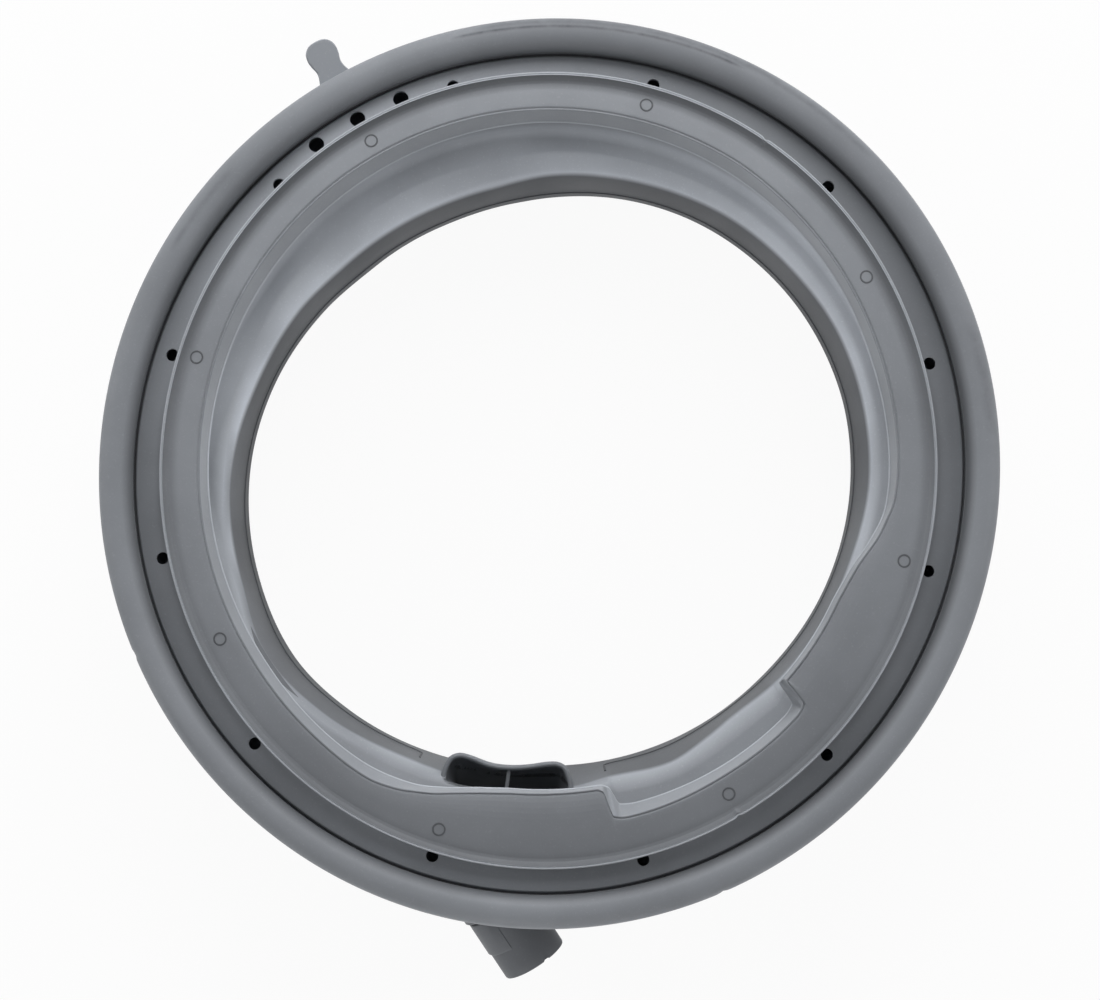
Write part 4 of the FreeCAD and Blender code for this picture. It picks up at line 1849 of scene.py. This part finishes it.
@dataclass(frozen=True)
class Rubber:
    """The finish: grey moulded rubber with a soft sheen, fine grain and faint marks."""

    colour: Colour = (0.238, 0.252, 0.274)
    dark: Colour = (0.205, 0.217, 0.236)
    bloom_colour: Colour = (0.33, 0.345, 0.365)
    scuff_colour: Colour = (0.075, 0.080, 0.092)
    roughness: float = 0.52
    smoother: float = 0.07
    rougher: float = 0.08
    specular: float = 0.24
    sheen: float = 0.06
    sheen_roughness: float = 0.45
    cloud: Grain = Grain(14.0, 5.0, 0.6)
    cloud_share: Stretch = Stretch(0.35, 0.65, 0.0, 1.0)
    bloom: Grain = Grain(900.0, 3.0, 0.65)
    bloom_share: Stretch = Stretch(0.58, 0.78, 0.0, 0.35)
    smear: Grain = Grain(160.0, 6.0, 0.7)
    smear_share: Stretch = Stretch(0.36, 0.62, 0.45, 1.0)
    fine_dents: Dents = Dents(Grain(2600.0, 2.0, 0.5), 0.22, 0.00012)
    wide_dents: Dents = Dents(Grain(70.0, 3.0, 0.55), 0.18, 0.0006)
    # The tone paints light and shade into the colour, zone by zone.
    tone: Tone = Tone()
    scuff_height: float = 82.0
    scuff_fade: float = 2.0
    scuffs: tuple[Scuff, ...] = (
        Scuff(347, 386, 4.7, 0.65, 1.0),
        Scuff(350, 392, 2.4, 1.6, 0.45),
        Scuff(300, 314, 5.6, 1.4, 0.35),
        Scuff(70, 86, 4.0, 2.4, 0.35),
        Scuff(28, 46, 3.6, 1.4, 0.4),
        Scuff(230, 240, 3.0, 1.6, 0.2),
        Scuff(152, 160, 2.0, 1.2, 0.2),
    )

    def make(self) -> bpy.types.Material:
        """Makes the material.

        Returns:
            The finished material.
        """
        material = bpy.data.materials.new("rubber")
        material.use_nodes = True
        tree = material.node_tree
        tree.nodes.clear()
        output = tree.nodes.new("ShaderNodeOutputMaterial")
        shader = tree.nodes.new("ShaderNodeBsdfPrincipled")
        tree.links.new(shader.outputs["BSDF"], output.inputs["Surface"])
        shader.inputs["Specular IOR Level"].default_value = self.specular
        shader.inputs["Sheen Weight"].default_value = self.sheen
        shader.inputs["Sheen Roughness"].default_value = self.sheen_roughness
        shading = Shading(tree, tree.nodes.new("ShaderNodeTexCoord").outputs["Object"])
        cloud = shading.noise(self.cloud)
        shading.join(self._coloured(shading, cloud), shader.inputs["Base Color"])
        matt = Stretch(0.3, 0.7, self.roughness - self.smoother, self.roughness + self.rougher)
        shading.join(shading.ramp(cloud, matt), shader.inputs["Roughness"])
        fine = shading.dent(self.fine_dents)
        shading.join(shading.dent(self.wide_dents, fine), shader.inputs["Normal"])
        return material

    def _coloured(self, shading: Shading, cloud: bpy.types.NodeSocket) -> bpy.types.NodeSocket:
        """Builds the rubber's colour: clouds, fine bloom, the scuffs and each point's tone, which paints
        light and shade into it.

        Args:
            shading: adds the nodes.
            cloud: the socket with the clouds' noise.

        Returns:
            The socket with the colour.
        """
        body = shading.blend(shading.ramp(cloud, self.cloud_share), self.colour, self.dark)
        dusty = shading.ramp(shading.noise(self.bloom), self.bloom_share)
        bloom = shading.blend(dusty, body, self.bloom_colour)
        rub = shading.new("ShaderNodeMath")
        rub.operation = "MULTIPLY"
        shading.join(shading.attribute("wear"), rub.inputs[0])
        shading.join(shading.ramp(shading.noise(self.smear), self.smear_share), rub.inputs[1])
        # Painted light and shade: the colour is scaled by each point's tone.
        tint = shading.new("ShaderNodeVectorMath")
        tint.operation = "SCALE"
        shading.join(shading.blend(rub.outputs[0], bloom, self.scuff_colour), tint.inputs[0])
        shading.join(shading.attribute("tone"), tint.inputs["Scale"])
        return tint.outputs[0]

    def wear(self, item: bpy.types.Object) -> None:
        """Writes how worn each point of a piece is, and the painted light and shade of its tone.

        Args:
            item: the piece.
        """
        mesh = item.data
        places = np.array([vertex.co for vertex in mesh.vertices]) / MILLIMETRE
        rubbed = np.zeros(len(places))
        pale = np.ones(len(places))
        for number, (x, y, z) in enumerate(places):
            angle = math.degrees(math.atan2(x, y)) % 360.0
            radius = math.hypot(x, y)
            # Each point's tone is painted light and shade.
            pale[number] = self.tone.at(item.name, angle, radius, float(z))
            if item.name == "bead" and z > self.scuff_height:
                rubbed[number] = self.rub(angle, RING.bead.at(angle) - radius)
        for name, values in (("wear", rubbed), ("tone", pale)):
            attribute = mesh.attributes.new(name, "FLOAT", "POINT")
            attribute.data.foreach_set("value", values.astype(np.float32))

    def rub(self, angle: float, inset: float) -> float:
        """Gives how rubbed the bead is.

        Args:
            angle: clockwise angle in degrees.
            inset: distance in from the bead's outer edge in millimetres.

        Returns:
            The wear, from 0 to 1.
        """
        worn = 0.0
        for scuff in self.scuffs:
            turn = angle + 360.0 if angle < scuff.start - 180.0 else angle
            ends = min(turn - scuff.start, scuff.end - turn) / self.scuff_fade
            if ends > 0:
                across = math.exp(-(((inset - scuff.inset) / scuff.width) ** 2))
                worn = max(worn, scuff.strength * across * min(1.0, ends))
        return worn


@dataclass(frozen=True)
class Lamp:
    """A square soft lamp.

    Args:
        name: its name.
        place: where it stands, in metres.
        size: its width in metres.
        power: its power in watts.
    """

    name: str
    place: tuple[float, float, float]
    size: float
    power: float


@dataclass
class Studio:
    """The pale floor, the soft light and the camera."""

    lens_distance: float = 1500.0
    frame_scale: float = 0.4415
    image_width: int = 1100
    image_height: int = 1000
    centre_pixel: Point = (549.5, 471.0)
    foot_shift: float = 105.0
    sensor: float = 36.0
    floor_half: float = 2.2
    floor_colour: Colour = (0.8, 0.8, 0.8)
    floor_glow: float = 0.94
    white: Colour = (1.0, 1.0, 1.0)
    horizon: float = 0.52
    zenith: float = 0.14
    behind: float = 0.75
    lamp_aim: float = 0.05
    lamps: tuple[Lamp, ...] = (
        Lamp("top_light", (0.0, 1.5, 1.05), 1.4, 29.0),
        Lamp("left_light", (-1.5, 0.35, 0.75), 0.9, 7.0),
        Lamp("right_light", (1.5, 0.35, 0.75), 0.9, 7.0),
        Lamp("low_light", (0.0, -1.6, 0.5), 1.2, 10.0),
    )

    def floor(self) -> bpy.types.Object:
        """Makes the floor.

        Returns:
            The floor.
        """
        mesh = bpy.data.meshes.new("floor")
        half = self.floor_half
        corners = [(-half, -half, 0), (half, -half, 0), (half, half, 0), (-half, half, 0)]
        mesh.from_pydata(corners, [], [(0, 1, 2, 3)])
        mesh.materials.append(self.floor_finish())
        item = bpy.data.objects.new("floor", mesh)
        bpy.context.scene.collection.objects.link(item)
        return item

    def floor_finish(self) -> bpy.types.Material:
        """Makes the floor's finish, white to the camera but for the gasket's soft shadow.

        Returns:
            The material.
        """
        material = bpy.data.materials.new("floor")
        material.use_nodes = True
        nodes, links = material.node_tree.nodes, material.node_tree.links
        nodes.clear()
        output = nodes.new("ShaderNodeOutputMaterial")
        plain = nodes.new("ShaderNodeBsdfDiffuse")
        plain.inputs["Color"].default_value = (*self.floor_colour, 1)
        bright = nodes.new("ShaderNodeEmission")
        bright.inputs["Color"].default_value = (*self.white, 1)
        bright.inputs["Strength"].default_value = 1.0
        add = nodes.new("ShaderNodeMixShader")
        share = nodes.new("ShaderNodeMath")
        share.operation = "MULTIPLY"
        share.inputs[1].default_value = self.floor_glow
        links.new(self.seen_rays(material.node_tree), share.inputs[0])
        links.new(share.outputs[0], add.inputs["Fac"])
        links.new(plain.outputs[0], add.inputs[1])
        links.new(bright.outputs[0], add.inputs[2])
        links.new(add.outputs[0], output.inputs["Surface"])
        return material

    def world(self) -> None:
        """Sets a soft light that is brighter low down and on the +Y side, and a white background."""
        world = bpy.data.worlds.new("studio")
        bpy.context.scene.world = world
        world.use_nodes = True
        nodes, links = world.node_tree.nodes, world.node_tree.links
        nodes.clear()
        output = nodes.new("ShaderNodeOutputWorld")
        light = nodes.new("ShaderNodeBackground")
        light.inputs["Color"].default_value = (*self.white, 1)
        direction = nodes.new("ShaderNodeSeparateXYZ")
        links.new(nodes.new("ShaderNodeTexCoord").outputs["Generated"], direction.inputs[0])
        shares = []
        for axis, start, end in (("Z", self.horizon, self.zenith), ("Y", self.behind, 1.0)):
            change = nodes.new("ShaderNodeMapRange")
            change.inputs["From Min"].default_value = 0.0 if axis == "Z" else -1.0
            change.inputs["To Min"].default_value = start
            change.inputs["To Max"].default_value = end
            links.new(direction.outputs[axis], change.inputs["Value"])
            shares.append(change.outputs["Result"])
        strength = nodes.new("ShaderNodeMath")
        strength.operation = "MULTIPLY"
        for share, socket in zip(shares, strength.inputs):
            links.new(share, socket)
        links.new(strength.outputs[0], light.inputs["Strength"])
        seen = nodes.new("ShaderNodeBackground")
        seen.inputs["Color"].default_value = (*self.white, 1)
        mix = nodes.new("ShaderNodeMixShader")
        links.new(self.seen_rays(world.node_tree), mix.inputs["Fac"])
        links.new(light.outputs[0], mix.inputs[1])
        links.new(seen.outputs[0], mix.inputs[2])
        links.new(mix.outputs[0], output.inputs["Surface"])

    @staticmethod
    def seen_rays(tree: bpy.types.NodeTree) -> bpy.types.NodeSocket:
        """Marks the rays that see the background: from the camera, off gloss and through glass.

        Args:
            tree: the node tree that needs the mark.

        Returns:
            A socket that is 1 for those rays.
        """
        path = tree.nodes.new("ShaderNodeLightPath")
        mark = path.outputs["Is Camera Ray"]
        for name in ("Is Glossy Ray", "Is Transmission Ray"):
            either = tree.nodes.new("ShaderNodeMath")
            either.operation = "MAXIMUM"
            tree.links.new(mark, either.inputs[0])
            tree.links.new(path.outputs[name], either.inputs[1])
            mark = either.outputs[0]
        return mark

    def hang(self, lamp: Lamp) -> None:
        """Adds a lamp that faces the gasket.

        Args:
            lamp: the lamp.
        """
        data = bpy.data.lights.new(lamp.name, "AREA")
        data.shape = "SQUARE"
        data.size = lamp.size
        data.energy = lamp.power
        place = Vector(lamp.place)
        item = bpy.data.objects.new(lamp.name, data)
        item.location = place
        item.rotation_euler = (Vector((0, 0, self.lamp_aim)) - place).to_track_quat("-Z", "Y").to_euler()
        bpy.context.scene.collection.objects.link(item)

    def camera(self) -> None:
        """Sets the camera above the front face, square to it and a little below its middle."""
        data = bpy.data.cameras.new("camera")
        data.sensor_width = self.sensor
        data.sensor_fit = "HORIZONTAL"
        width = self.image_width * self.frame_scale
        data.lens = self.sensor * self.lens_distance / width
        distance = self.lens_distance * MILLIMETRE
        across = self.image_width / 2 - self.centre_pixel[0]
        down = self.centre_pixel[1] - self.image_height / 2
        shift_y = self.foot_shift / width
        data.shift_x = across / self.image_width
        data.shift_y = shift_y + down / self.image_width
        item = bpy.data.objects.new("camera", data)
        item.location = (0.0, -self.foot_shift * MILLIMETRE, RING.depth * MILLIMETRE + distance)
        item.rotation_euler = (0.0, 0.0, 0.0)
        bpy.context.scene.collection.objects.link(item)
        bpy.context.scene.camera = item

    def build(self) -> None:
        """Sets up floor, light and camera."""
        self.floor()
        self.world()
        for lamp in self.lamps:
            self.hang(lamp)
        self.camera()
        bpy.context.scene.view_settings.view_transform = "Standard"


@dataclass
class Gasket:
    """The whole gasket."""

    finish: Rubber = field(default_factory=Rubber)
    bead: Bead = field(default_factory=Bead)
    channel: Channel = field(default_factory=Channel)
    lip: Lip = field(default_factory=Lip)
    bellows: Bellows = field(default_factory=Bellows)
    collar: Collar = field(default_factory=Collar)
    duct: Duct = field(default_factory=Duct)
    tab: PullTab = field(default_factory=PullTab)

    def build(self) -> list[bpy.types.Object]:
        """Makes every piece and ties it to the frame.

        Returns:
            The pieces.
        """
        moulding = Moulding(self.finish.make())
        self.bead.build(moulding)
        self.channel.build(moulding)
        self.lip.build(moulding)
        walls = [self.bellows.build(moulding)[0], self.collar.build(moulding)]
        for wall in walls:
            moulding.cut(wall, [self.duct.passage(moulding)])
        self.duct.build(moulding)
        self.tab.build(moulding)
        for item in moulding.made:
            self.finish.wear(item)
            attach(item, "root")
            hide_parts(NODE)
            log.info("%s has %d faces", item.name, len(item.data.polygons))
        return moulding.made


def main() -> None:
    """Builds the gasket and its studio."""
    logging.basicConfig(level=logging.INFO)
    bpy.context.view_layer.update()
    Gasket().build()
    Studio().build()


if __name__ == "__main__":
    main()
